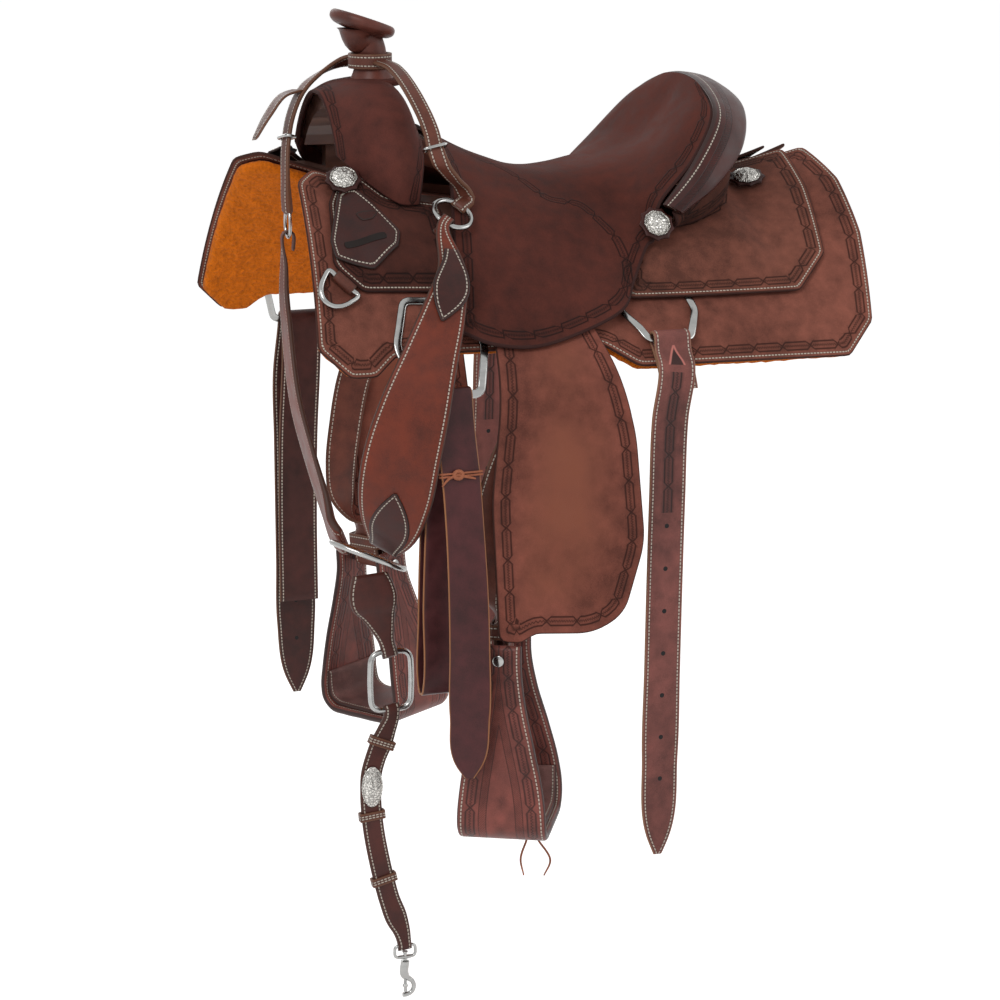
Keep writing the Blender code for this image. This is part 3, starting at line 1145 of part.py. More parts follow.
def build_tie_down():
    """The ring below the collar, the strap on it with its buckle, and the snap that clips to the cinch."""
    ring = straight_ring(TUG_RING, TUG_RING_HALF, 0.014, 5)
    out = np.array([1.0, 0.0, 0.0])
    across = np.array([0.0, 1.0, 0.0])
    reach = across * 0.030
    bar = TUG_RING + (0.0, 0.0, TUG_RING_HALF[1])
    place("tug_ring", wire(ring, TUG_RING_WIRE, out, True, 6), "steel", bar)
    way = wire([bar - reach, bar + reach], TUG_LOOP, out, False, 8)
    bored(bpy.data.objects["hub_tug"], way, "hub_tug_way")

    bar = TUG_RING - (0.0, 0.0, TUG_RING_HALF[1])
    path = along([bar + (0.0, 0.0, TUG_END), bar - (0.0, 0.0, 0.010), (0.200, -0.220, -0.575),
                  (0.200, -0.2325, -0.610), (0.200, -0.2325, -0.660), (0.200, -0.2250, -0.710),
                  (0.200, -0.2120, -0.765), (0.200, -0.1975, -0.805), SNAP_TOP - (0.0, 0.0, 0.0052)], 17)
    width = np.concatenate([np.full(3, TUG_LOOP_WIDTH), [0.022, 0.026], np.full(8, 0.0250),
                            [0.026, 0.020, 0.0170, 0.0170]])
    thick = np.concatenate([[0.0116, 0.0116, 0.0090, 0.0066], np.full(9, 0.0050),
                            [0.0054, 0.0070, 0.0086, 0.0086]])
    item = place("tie_down_strap", strap(path, across, width, thick), "dark_leather", bar)
    bored(item, wire([SNAP_TOP - reach, SNAP_TOP + reach], SNAP_WIRE + GAP, out, False, 8), "snap_eye_way")
    bored(item, wire([bar - reach, bar + reach], TUG_LOOP, out, False, 8), "tie_down_way")

    plate = oval(np.zeros(3), across, (0.0, 0.0, 1.0), (1.0, 1.0), 16)
    middle = np.array([0.2000 + 0.0025 + GAP, -0.2330, -0.6250])
    sections = [middle + plate * (0.0, 0.0125, 0.0240) * share + out * high
                for share, high in ((1.0, 0.0), (1.0, 0.0012), (0.86, 0.0028), (0.45, 0.0040))]
    place("tie_down_buckle", loft(sections), "silver")

    eye_low = SNAP_TOP - (0.0, 0.0, 2 * SNAP_EYE_HALF[1])
    loop = straight_ring(SNAP_TOP - (0.0, 0.0, SNAP_EYE_HALF[1]), SNAP_EYE_HALF, 0.005, 4)
    near_low = np.exp(-((loop - eye_low) / 0.0050)**2).prod(axis=1)
    eye_ring = place("snap_eye", wire(loop, SNAP_WIRE + 0.0022 * near_low, out), "steel", SNAP_TOP)
    down = np.array([0.0, 0.0, -1.0])
    post_way = wire([eye_low - down * 0.010, eye_low + down * 0.010], SNAP_POST + GAP, out, False, 12)
    bored(eye_ring, post_way, "snap_post_way")
    steps = [(0.0, -0.0068, 0.0032), (0.0, -0.0048, 0.0032), (0.0, -0.0047, SNAP_POST),
             (0.0, 0.0047, SNAP_POST), (0.0, 0.0050, SNAP_BARREL), (0.0, 0.0230, SNAP_BARREL),
             (0.0030, 0.0262, 0.0032), (0.0085, 0.0310, 0.0026), (0.0105, 0.0375, 0.0026),
             (0.0075, 0.0440, 0.0026), (0.0, 0.0465, 0.0028), (-0.0030, 0.0465, 0.0026)]
    flat = np.array(steps)
    path = eye_low + np.stack([0.0 * flat[:, 0], flat[:, 0], -flat[:, 1]], axis=1)
    body = place("snap_body", wire(path, flat[:, 2], out, False, 10), "steel", eye_low)
    pin_way = wire([eye_low + down * 0.0080, eye_low + down * 0.0300], SNAP_PIN + GAP, out, False, 12)
    bored(body, pin_way, "snap_pin_way")
    pin = [(0.0, 0.0180), (SNAP_PIN, 0.0180), (SNAP_PIN, 0.0330), (0.0030, 0.0345), (0.0030, 0.0365),
           (SNAP_PIN, 0.0380), (SNAP_PIN, 0.0428), (0.0, 0.0428)]
    place("snap_plunger", turned(pin, eye_low, down, 10), "steel", eye_low)


def main():
    """Builds the saddle."""
    clear_scene()
    build_skirts()
    build_jockeys()
    build_seat()
    build_cantle()
    build_fork()
    build_tree()
    build_horn()
    build_conchos()
    build_rigging()
    build_cinch_straps()
    build_collar_dees()
    build_fenders()
    build_stirrups()
    build_horn_straps()
    build_collar()
    build_tie_down()


main()
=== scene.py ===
"""The dressed team roping saddle, in metres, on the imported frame.

X runs across the horse with the rider's left, the near side, at +X.
The horn is towards -Y, the cantle towards +Y, and Z is up.
Every leather that lies on the horse's side is cut from a flat pattern and laid on one surface, the flank.
A leather's UV map "edge" holds the metres along its cut edge and in from it, and "flat" its flat pattern.
"""

import json

import bpy
import numpy as np
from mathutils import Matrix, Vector
from mathutils.geometry import delaunay_2d_cdt


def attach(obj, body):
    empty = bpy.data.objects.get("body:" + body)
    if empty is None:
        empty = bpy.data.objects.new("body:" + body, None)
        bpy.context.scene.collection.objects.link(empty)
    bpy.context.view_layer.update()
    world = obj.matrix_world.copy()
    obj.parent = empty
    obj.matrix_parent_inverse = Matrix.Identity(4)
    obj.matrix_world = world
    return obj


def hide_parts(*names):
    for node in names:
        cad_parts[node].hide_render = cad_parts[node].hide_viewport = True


bl_info = {
    "name": "Team roping saddle",
    "version": (1, 0, 0),
    "blender": (4, 5, 0),
    "location": "View3D > Sidebar > Saddle",
    "description": "Makes a roping saddle's leathers, fleece and metal with their stitching and tooling",
    "category": "Add Mesh",
}

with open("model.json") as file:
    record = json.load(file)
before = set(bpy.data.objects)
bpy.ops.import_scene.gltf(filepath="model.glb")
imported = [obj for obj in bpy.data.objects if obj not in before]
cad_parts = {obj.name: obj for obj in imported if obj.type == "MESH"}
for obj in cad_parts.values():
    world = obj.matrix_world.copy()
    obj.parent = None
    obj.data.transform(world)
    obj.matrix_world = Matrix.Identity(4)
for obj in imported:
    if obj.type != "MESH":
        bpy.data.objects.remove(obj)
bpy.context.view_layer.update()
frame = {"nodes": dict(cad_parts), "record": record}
BODY_OF = {node: body for body, nodes in frame["record"]["behaviour"]["bodies"].items() for node in nodes}

# Sizes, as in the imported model
FLANK_Y = (-0.300, 0.000, 0.350)
HEM_X = (0.252, 0.262, 0.250)
HEM_Z = (-0.143, -0.147, -0.155)
HEM_SLOPE = (72.0, 50.0, 62.0)
TOP_SLOPE = (45.0, 18.0, 16.0)
HEM_TO_TOP = (0.228, 0.275, 0.330)
HANG_SLOPE = 87.0
HANG_BEND = 0.060
GAP = 0.0004
SKIRT_THICK = 0.0046
JOCKEY_THICK = 0.0036
SEAT_THICK = 0.0036
FENDER_THICK = 0.0036
STRAP_THICK = 0.0036
COVER_THICK = 0.0036
FLEECE_THICK = 0.0160
FLEECE_GAP = 0.0020
FLEECE_INSET = 0.0040
SEAT_LIFT = 0.0194
BAR_RISE = 0.0140
BAR_FRONT = -0.250
BAR_REAR = 0.275
BAR_LOW = 0.096
BAR_FADE = 0.045
FORK_TOP = 0.153
FORK_LIP_TOP = 0.142
FORK_BACK_TOP = 0.100
HORN_Y = -0.158
HORN_NECK_RADIUS = 0.0178
HORN_FOOT_RADIUS = 0.0255
HORN_CAP_RADIUS = 0.0385
HORN_CAP_HEIGHT = 0.216
HORN_CAP_TILT = 19.0
BILLET_WIDTH = 0.0445
LATIGO_WIDTH = 0.0445
OFF_BILLET_WIDTH = 0.0508
SKIRT = [(-0.262, 0.262), (-0.287, 0.236), (-0.303, 0.031, 0.012), (-0.270, -0.002, 0.012),
         (-0.241, -0.002, 0.012), (-0.215, 0.021), (-0.114, 0.023), (0.026, 0.026), (0.064, -0.005),
         (0.332, -0.005, 0.012), (0.371, 0.036, 0.012), (0.390, 0.153), (0.394, 0.240),
         (0.382, 0.317, 0.010), (0.300, 0.317, 0.010), (0.120, 0.270), (-0.120, 0.250)]
REAR_JOCKEY = [(0.070, 0.082, 0.008), (0.287, 0.077, 0.010), (0.333, 0.124, 0.010),
               (0.350, 0.230, 0.020), (0.356, 0.314, 0.010), (0.246, 0.314, 0.006),
               (0.243, 0.258, 0.010), (0.222, 0.216, 0.010),
               (0.180, 0.197, 0.010), (0.130, 0.192, 0.010), (0.092, 0.156)]
FRONT_JOCKEY = [(-0.226, 0.262, 0.006), (-0.256, 0.208), (-0.271, 0.126), (-0.241, 0.094, 0.012),
                (-0.128, 0.096), (-0.118, 0.217, 0.006), (-0.186, 0.217, 0.006), (-0.212, 0.244, 0.006)]
FENDER = [(-0.100, 0.066, 0.020), (-0.106, 0.010), (-0.124, -0.141, 0.300), (-0.119, -0.300, 0.012),
          (-0.094, -0.303, 0.012), (-0.076, -0.294, 0.020), (-0.008, -0.299, 0.100), (0.030, -0.280, 0.060),
          (0.056, -0.200, 0.100), (0.047, -0.080, 0.200), (0.012, 0.066, 0.030)]
KEEPER = [(-0.242, 0.222, 0.006), (-0.222, 0.224, 0.006), (-0.184, 0.162, 0.006),
          (-0.191, 0.143, 0.006), (-0.225, 0.117, 0.006), (-0.268, 0.132, 0.006),
          (-0.269, 0.154, 0.006)]
JOCKEY_LIFT = 0.0090
FRONT_JOCKEY_LIFT = SKIRT_THICK + 0.0020
FENDER_LIFT = 0.0120
LEATHER_LIFT = 0.0062
FRONT_CONCHO = (-0.232, 0.236, FRONT_JOCKEY_LIFT + JOCKEY_THICK + STRAP_THICK * 0.8 + 0.0024)
SEAT_CONCHO_TILT = 0.48
SEAT_CONCHO = (3.82, 2.88, SEAT_THICK + 0.0104)
REAR_CONCHO = (0.290, 0.262, JOCKEY_LIFT + JOCKEY_THICK + 0.0048)
CONCHO_RADIUS = 0.0160
ROSETTE_RADIUS = 0.0215
ROSETTE_THICK = 0.0026
CONCHO_LOBES = 9
PLATE_LOW = SKIRT_THICK + 0.0007
PLATE_THICK = 0.0030
PLATE_WIDTH = 0.0090
FRONT_DEE = [(-0.196, 0.085, 0.012), (-0.215, 0.030, 0.030), (-0.197, -0.026, 0.010),
             (-0.129, -0.026, 0.010), (-0.113, 0.030, 0.030), (-0.130, 0.085, 0.012)]
FRONT_DEE_BAR = (-0.163, -0.026)
REAR_DEE = [(0.066, 0.100, 0.016), (0.061, 0.066, 0.030), (0.079, 0.023, 0.008), (0.131, 0.023, 0.008),
            (0.152, 0.066, 0.030), (0.146, 0.100, 0.016)]
REAR_DEE_BAR = (0.105, 0.023)
REAR_DEE_RISE = 0.0074
LATIGO_THICK = 0.0028
BILLET_THICK = 0.0034
FRONT_WRAP = 0.0075
REAR_WRAP = 0.0072
TAB_DEPTH = 0.0100
TAB_WIDTH = 0.0260
TAB_LEATHER = 0.0026
DEE_WIRE = 0.0030
DEE_HALF = 0.0205
DEE_REACH = 0.0330
TAB_EDGE = ((-0.271, 0.126), (-0.241, 0.094))
FENDER_PIVOT = (-0.050, 0.060)
STIRRUP_TURN = 30.0
BOLT_CENTRE = np.array([0.2765, -0.101, -0.459])
BOLT_RADIUS = 0.0039
STIRRUP_HALF_TOP = 0.0360
STIRRUP_DROP = 0.199
STIRRUP_THICK = 0.0090
LEATHER_WIDTH = 0.0430
LEATHER_THICK = 0.0034
OFF_SWING = 5.5
OFF_DROP = 0.026
RING_RADIUS = 0.0220
RING_WIRE = 0.0030
LINK_WIRE = 0.0020
LINK_HALF = (0.0100, 0.0165)
BUCKLE_WIRE = 0.0018
BUCKLE_HALF = (0.0125, 0.0055)
TUG_WIDTH = 0.0190
HORN_BAND_Z = 0.1735
HUB = np.array([0.200, -0.234, -0.356])
HUB_HALF = (0.0430, 0.0240)
OFF_RING = np.array([0.000, -0.2600, -0.008])
COLLAR_LOOP = 0.0058
COLLAR_LOOP_WIDTH = 0.0140
LINK_LOOP = 0.0071
COLLAR_THICK = 0.0056
TUG_RING = np.array([0.200, -0.2085, -0.503])
TUG_RING_HALF = (0.0238, 0.0338)
TUG_RING_WIRE = 0.0032
TUG_LOOP_WIDTH = 0.0190
TUG_END = 0.0062
SNAP_TOP = np.array([0.200, -0.194, -0.822])
SNAP_WIRE = 0.0018
SNAP_EYE_HALF = (0.0125, 0.0070)
SNAP_POST = 0.0020
SNAP_BARREL = 0.0050
SNAP_PIN = 0.0018


def unit(vectors):
    """Each vector of the array at length one."""
    vectors = np.asarray(vectors, float)
    return vectors / np.linalg.norm(vectors, axis=-1, keepdims=True)


def smoothstep(value):
    """Zero below 0, one above 1 and an even S between."""
    held = np.clip(value, 0.0, 1.0)
    return held * held * (3.0 - 2.0 * held)


def through(points, samples):
    """Points on the smooth Catmull and Rom curve through the given ones, at parameters counted in points."""
    points = np.asarray(points, float)
    first = 2.0 * points[:1] - points[1:2]
    last = 2.0 * points[-1:] - points[-2:-1]
    held = np.concatenate([first, points, last])
    samples = np.asarray(samples, float)
    cell = np.clip(np.floor(samples).astype(int), 0, len(points) - 2)
    t = (samples - cell).reshape((-1,) + (1,) * (points.ndim - 1))
    a, b, c, d = (held[cell + k] for k in range(4))
    return 0.5 * (2 * b + (c - a) * t + (2 * a - 5 * b + 4 * c - d) * t**2
                  + (3 * b - a - 3 * c + d) * t**3)


def along(points, count):
    """The given number of points on the smooth curve through the given ones."""
    return through(points, np.linspace(0.0, len(points) - 1.0, count))


def rounded(corners, radius, steps=4):
    """A closed flat outline with each corner (point or point with its own radius) turned as an arc."""
    result = []
    places = [np.array(corner[:2], float) for corner in corners]
    for i, corner in enumerate(corners):
        here = places[i]
        before = unit(places[i - 1] - here)
        after = unit(places[(i + 1) % len(places)] - here)
        bend = corner[2] if len(corner) > 2 else radius
        half = 0.5 * np.arccos(np.clip(np.dot(before, after), -0.9999, 0.9999))
        reach = min(bend / np.tan(half), 0.45 * np.linalg.norm(places[i - 1] - here),
                    0.45 * np.linalg.norm(places[(i + 1) % len(places)] - here))
        for t in np.linspace(0.0, 1.0, steps):
            result.append(here + (1 - t)**2 * before * reach + t**2 * after * reach)
    return np.array(result)


def station(y, values):
    """A flank value at y: the parabola through its three stations."""
    a, b, c = FLANK_Y
    y = np.asarray(y, float)
    return (values[0] * (y - b) * (y - c) / ((a - b) * (a - c))
            + values[1] * (y - a) * (y - c) / ((b - a) * (b - c))
            + values[2] * (y - a) * (y - b) / ((c - a) * (c - b)))


def flank(y, up, lift=0.0):
    """The flank point for a pattern point, raised off the surface by lift.

    The section is an arc whose slope falls from the hem to the top.
    Below the hem the slope steepens along a second arc and then hangs straight.
    """
    y = np.asarray(y, float)
    up = np.asarray(up, float) + 0.0 * y
    low = np.radians(station(y, HEM_SLOPE))
    top = np.radians(station(y, TOP_SLOPE))
    hang = np.radians(HANG_SLOPE)
    rise = np.clip(up, 0.0, None)
    slope = low + (top - low) * rise / station(y, HEM_TO_TOP)
    chord = rise * np.sinc((slope - low) / 2.0 / np.pi)
    x = station(y, HEM_X) - chord * np.cos((slope + low) / 2.0)
    z = station(y, HEM_Z) + chord * np.sin((slope + low) / 2.0)
    fall = np.clip(-up, 0.0, HANG_BEND)
    steep = low + (hang - low) * fall / HANG_BEND
    chord = fall * np.sinc((steep - low) / 2.0 / np.pi)
    x = x + chord * np.cos((steep + low) / 2.0)
    z = z - chord * np.sin((steep + low) / 2.0)
    rest = np.clip(-up - HANG_BEND, 0.0, None)
    x = x + rest * np.cos(hang)
    z = z - rest * np.sin(hang)
    slope = np.where(up >= 0.0, slope, steep)
    return np.stack([x + lift * np.sin(slope), y + 0.0 * up, z + lift * np.cos(slope)], axis=-1)


def over_bar(y, up):
    """How far the tree's bar lifts the leathers that lie over it."""
    ends = smoothstep((y - BAR_FRONT) / BAR_FADE) * smoothstep((BAR_REAR - y) / BAR_FADE)
    return BAR_RISE * ends * smoothstep((up - BAR_LOW) / BAR_FADE)


def on_flank(y, up, lift):
    """A leather that lies straight on the skirt."""
    return flank(y, up, lift)


def on_bars(y, up, lift):
    """A leather that rides over the tree's bar."""
    return flank(y, up, lift + over_bar(y, up))


def inset(outline, distance):
    """The outline moved inwards by the distance."""
    points = np.asarray(outline)
    run = unit(np.roll(points, -1, axis=0) - np.roll(points, 1, axis=0))
    side = np.stack([-run[:, 1], run[:, 0]], axis=1)
    ahead = np.roll(points, -1, axis=0)
    area = np.sum(points[:, 0] * ahead[:, 1] - ahead[:, 0] * points[:, 1])
    return points + side * distance * np.sign(area)


def grid_normals(points):
    """Unit normals of a grid of points, from its two directions."""
    across = np.gradient(points, axis=1)
    down = np.gradient(points, axis=0)
    return unit(np.cross(down, across))


def seat_net():
    """The underside of the near half of the seat leather, as rows from the cantle's top to the fork.

    Each row runs from the centre line, by two points between, to the leather's edge.
    """
    def laid(y, up):
        return on_bars(y, up, SEAT_LIFT)

    return np.array([
        [(0, 0.229, 0.145), (0.022, 0.2285, 0.144), (0.044, 0.2280, 0.1405), (0.067, 0.227, 0.1340)],
        [(0, 0.207, 0.104), (0.045, 0.205, 0.110), (0.085, 0.209, 0.115), (0.123, 0.215, 0.107)],
        [(0, 0.172, 0.070), (0.055, 0.172, 0.074), (0.105, 0.174, 0.075), (0.150, 0.180, 0.061)],
        [(0, 0.128, 0.053), (0.060, 0.128, 0.050), (0.117, 0.131, 0.031), (0.157, 0.136, 0.014)],
        [(0, 0.098, 0.047), (0.064, 0.100, 0.041), (0.123, 0.112, 0.011), laid(0.125, 0.150)],
        [(0, 0.068, 0.043), (0.068, 0.072, 0.034), laid(0.096, 0.190), laid(0.110, 0.136)],
        [(0, 0.040, 0.041), (0.068, 0.042, 0.032), laid(0.058, 0.175), laid(0.082, 0.096)],
        [(0, 0.008, 0.0455), (0.068, 0.012, 0.034), laid(0.034, 0.165), laid(0.056, 0.058)],
        [(0, -0.024, 0.056), (0.068, -0.018, 0.041), laid(0.000, 0.155), laid(0.002, 0.032)],
        [(0, -0.052, 0.067), (0.070, -0.046, 0.047), laid(-0.040, 0.150), laid(-0.058, 0.016)],
        [(0, -0.080, 0.081), (0.078, -0.076, 0.056), laid(-0.080, 0.150), laid(-0.108, 0.021)],
        [(0, -0.106, 0.096), (0.100, -0.104, 0.060), laid(-0.121, 0.160), laid(-0.146, 0.040)],
    ])


def seat_grid(rows, columns):
    """Points of the seat's underside at row and column parameters; columns run from -3 to 3, off to near."""
    net = seat_net()
    whole = np.concatenate([(net * (-1, 1, 1))[:, :0:-1], net], axis=1)
    crossed = through(whole, rows)
    return through(crossed.transpose(1, 0, 2), np.asarray(columns) + 3.0).transpose(1, 0, 2)


def fork_grid(turns, sweeps, depth=0.0):
    """The fork's outer face: turns run from the near foot over the top to the off foot.

    The sweeps run front to back.
    Four arches, the lip, two over the swell and the back, each rise from a foot to a crown.
    A smooth curve joins them front to back.
    """
    lift = FRONT_JOCKEY_LIFT + JOCKEY_THICK + 0.0008
    feet = [on_bars(-0.226, 0.280, lift), on_bars(-0.204, 0.232, lift + 0.002),
            on_bars(-0.174, 0.203, lift + 0.004), on_bars(-0.146, 0.206, lift + 0.003)]
    crowns = [(-0.226, FORK_LIP_TOP), (-0.188, FORK_TOP), (-0.144, FORK_TOP - 0.003),
              (-0.118, FORK_BACK_TOP)]
    swells = (-0.012, 0.012, 0.014, 0.002)
    turns = np.asarray(turns)[:, None]
    rise = np.abs(np.sin(turns))
    reach = np.cos(turns)
    arches = []
    for foot, crown, swell in zip(feet, crowns, swells):
        x = np.sign(reach) * (foot[0] * np.abs(reach)**0.90 + swell * np.sin(2 * np.arcsin(rise)))
        y = foot[1] + (crown[0] - foot[1]) * rise**1.5
        z = foot[2] + (crown[1] - foot[2]) * rise
        arches.append(np.concatenate([x, y, z], axis=-1))
    face = through(np.stack(arches), np.asarray(sweeps) * 3.0).transpose(1, 0, 2)
    if depth:
        normal = grid_normals(face)
        if normal[len(turns) // 2, len(sweeps) // 2, 2] < 0:
            normal = -normal
        face = face - normal * depth
    return face


def horn_axis():
    """Direction in which the horn's cap faces."""
    tilt = np.radians(HORN_CAP_TILT)
    return np.array([0.0, np.sin(tilt), np.cos(tilt)])


def wall_frame(y, up, lift, surface=on_bars):
    """A place on a leather and the two directions in its face and the one out of it."""
    step = 0.004
    here = surface(y, up, lift)
    ahead = unit(surface(y + step, up, lift) - here)
    above = unit(surface(y, up + step, lift) - here)
    out = unit(np.cross(ahead, above))
    if out[0] * np.sign(here[0]) < 0:
        out = -out
    return here, ahead, above, out


def seat_frame(row, column, lift):
    """A place at the seat leather's rear corner, tilted between the jockey and the cantle's side."""
    ahead, above, out = wall_frame(0.135, 0.150, 0.0)[1:]
    above = unit(above + SEAT_CONCHO_TILT * out)
    out = np.cross(ahead, above) * np.sign(np.dot(out, np.cross(ahead, above)))
    return seat_grid([row], [column])[0, 0] + out * lift, ahead, above, out


def arc(centre, radius, first, second, start, stop, count):
    """Points on an arc from angle start to stop in degrees, in the plane of the two unit directions."""
    angle = np.radians(np.linspace(start, stop, count))[:, None]
    return np.array(centre) + radius * (np.cos(angle) * np.array(first) + np.sin(angle) * np.array(second))


def dee_lift(up):
    """Mid height of the rear dee over the skirt: it stands off towards its lower bar, where the billet is."""
    return PLATE_LOW + PLATE_THICK / 2 + REAR_DEE_RISE * smoothstep((0.074 - up) / 0.040)

HUB_ALONG = unit(np.array([0.333, 0.869, -0.360]))


# Making shapes


def shown(name, data):
    """A new object in the scene."""
    item = bpy.data.objects.new(name, data)
    bpy.context.scene.collection.objects.link(item)
    return item


def lengths_along(points):
    """The length walked from the first of the points to each of them."""
    return np.concatenate([[0.0], np.cumsum(np.linalg.norm(np.diff(points, axis=0), axis=1))])


def oblong(wide, deep, radius, steps):
    """A flat outline of the two half lengths with rounded corners."""
    return rounded([(-wide, -deep), (wide, -deep), (wide, deep), (-wide, deep)], radius, steps)


class Shape:
    """Points, faces and the two UV values of each point of one closed piece."""

    def __init__(self, points, faces, edge, flat):
        self.points = np.asarray(points, float).reshape(-1, 3)
        self.faces = faces
        self.edge = np.asarray(edge).reshape(-1, 2)
        self.flat = np.asarray(flat).reshape(-1, 2)

    def moved(self, change):
        """The same shape with its points sent through the change."""
        return Shape(change(self.points), self.faces, self.edge, self.flat)

    def mirrored(self):
        """The same shape on the other side of the horse."""
        return self.moved(lambda points: points * (-1.0, 1.0, 1.0))

    def outward(self):
        """1 where the faces turn out and -1 where they turn in, by the sign of the volume.

        The volume is a sixth of the sum of corner times the cross product of the next two, by fans.
        """
        total = 0.0
        centre = self.points.mean(axis=0)
        for group in self.faces:
            corners = self.points[group] - centre
            for i in range(1, group.shape[1] - 1):
                total += np.einsum("ij,ij->", corners[:, 0], np.cross(corners[:, i], corners[:, i + 1]))
        return 1 if total >= 0 else -1


def joined_shapes(*shapes):
    """Several closed shapes as one piece."""
    faces, start = [], 0
    for shape in shapes:
        sign = shape.outward()
        faces += [group[:, ::sign] + start for group in shape.faces]
        start += len(shape.points)
    return Shape(np.vstack([shape.points for shape in shapes]), faces,
                 np.vstack([shape.edge for shape in shapes]), np.vstack([shape.flat for shape in shapes]))


def place(name, shape, finish, body=None, keeps=False):
    """Makes the piece that stands for the CAD node of the name, faces out, and lets it ride on its body."""
    sign = shape.outward()
    corners = [group[:, ::sign] for group in shape.faces]
    mesh = bpy.data.meshes.new("dressed_" + name)
    mesh.from_pydata(shape.points.tolist(), [], [face for group in corners for face in group.tolist()])
    order = np.concatenate([group.ravel() for group in corners])
    for label, values in (("edge", shape.edge), ("flat", shape.flat)):
        layer = mesh.uv_layers.new(name=label)
        layer.data.foreach_set("uv", values[order].astype(np.float32).ravel())
    mesh.shade_smooth()
    mesh.set_sharp_from_angle(angle=np.radians(62.0))
    mesh.materials.append(finish)
    item = shown("dressed_" + name, mesh)
    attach(item, body or BODY_OF[name])
    if not keeps:
        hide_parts(name)


def place_both(name, shape, finish):
    """The near piece and its mirror image on the off side."""
    place(name + "_near", shape, finish)
    place(name + "_off", shape.mirrored(), finish)


def place_extra(name, shape, finish, body):
    """A piece with no CAD node of its own, riding on the body."""
    place(name, shape, finish, body, True)


def traced(controls, positions):
    """Values at positions along a chord length curve: cubic Hermite pieces with three-point slopes."""
    controls = np.asarray(controls, float)
    length = np.linalg.norm(np.diff(controls[:, :3], axis=0), axis=1)
    length = np.maximum(length, 1e-6)
    at = np.concatenate([[0.0], np.cumsum(length)])
    chord = np.diff(controls, axis=0) / length[:, None]
    slope = np.empty_like(controls)
    slope[0], slope[-1] = chord[0], chord[-1]
    before, after = length[:-1, None], length[1:, None]
    slope[1:-1] = (chord[:-1] * after + chord[1:] * before) / (before + after)
    positions = np.asarray(positions, float) * at[-1]
    cell = np.clip(np.searchsorted(at, positions, side="right") - 1, 0, len(length) - 1)
    span = length[cell][:, None]
    t = ((positions - at[cell]) / length[cell])[:, None]
    return (controls[cell] * (2 * t**3 - 3 * t**2 + 1) + controls[cell + 1] * (3 * t**2 - 2 * t**3)
            + slope[cell] * span * (t**3 - 2 * t**2 + t) + slope[cell + 1] * span * (t**3 - t**2))


def evened(controls, step, closed=False):
    """The smooth curve through the controls at even steps of length; closed ones return to their start."""
    controls = np.asarray(controls, float)
    if closed:
        controls = np.vstack([controls[-2:], controls, controls[:3]])
    rough = traced(controls, np.linspace(0.0, 1.0, 40 * len(controls)))
    walked = lengths_along(rough[:, :3])
    start, stop = 0.0, walked[-1]
    if closed:
        first = np.argmin(np.linalg.norm(rough[:len(rough) // 2, :3] - controls[2, :3], axis=1))
        half = len(rough) // 2
        last = half + np.argmin(np.linalg.norm(rough[half:, :3] - controls[2, :3], axis=1))
        start, stop = walked[first], walked[last]
    count = max(int(np.ceil((stop - start) / step)), 8)
    wanted = np.linspace(start, stop, count + 1)[:count if closed else count + 1]
    values = np.stack([np.interp(wanted, walked, rough[:, k]) for k in range(rough.shape[1])], axis=1)
    return values, wanted - start


def tube(rings, edge, flat, closed=False):
    """A closed body of equal rings (n, m, 3), with a fan over each open end."""
    rings = np.asarray(rings)
    count, around = rings.shape[:2]
    index = np.arange(count * around).reshape(count, around)
    after = np.roll(index, -1, axis=0) if closed else index[1:]
    first = index if closed else index[:-1]
    quads = np.stack([first, np.roll(first, -1, axis=1), np.roll(after, -1, axis=1), after], axis=-1)
    points = rings.reshape(-1, 3)
    faces = [quads.reshape(-1, 4)]
    edge = np.asarray(edge).reshape(-1, 2)
    flat = np.asarray(flat).reshape(-1, 2)
    if not closed:
        ends = np.stack([rings[0].mean(axis=0), rings[-1].mean(axis=0)])
        low, high = len(points), len(points) + 1
        points = np.vstack([points, ends])
        edge = np.vstack([edge, edge[:1], edge[-1:]])
        flat = np.vstack([flat, flat[:around].mean(axis=0)[None], flat[-around:].mean(axis=0)[None]])
        a, b = index[0], index[-1]
        faces.append(np.stack([np.roll(a, -1), a, np.full(around, low)], axis=-1))
        faces.append(np.stack([b, np.roll(b, -1), np.full(around, high)], axis=-1))
    return Shape(points, faces, edge, flat)


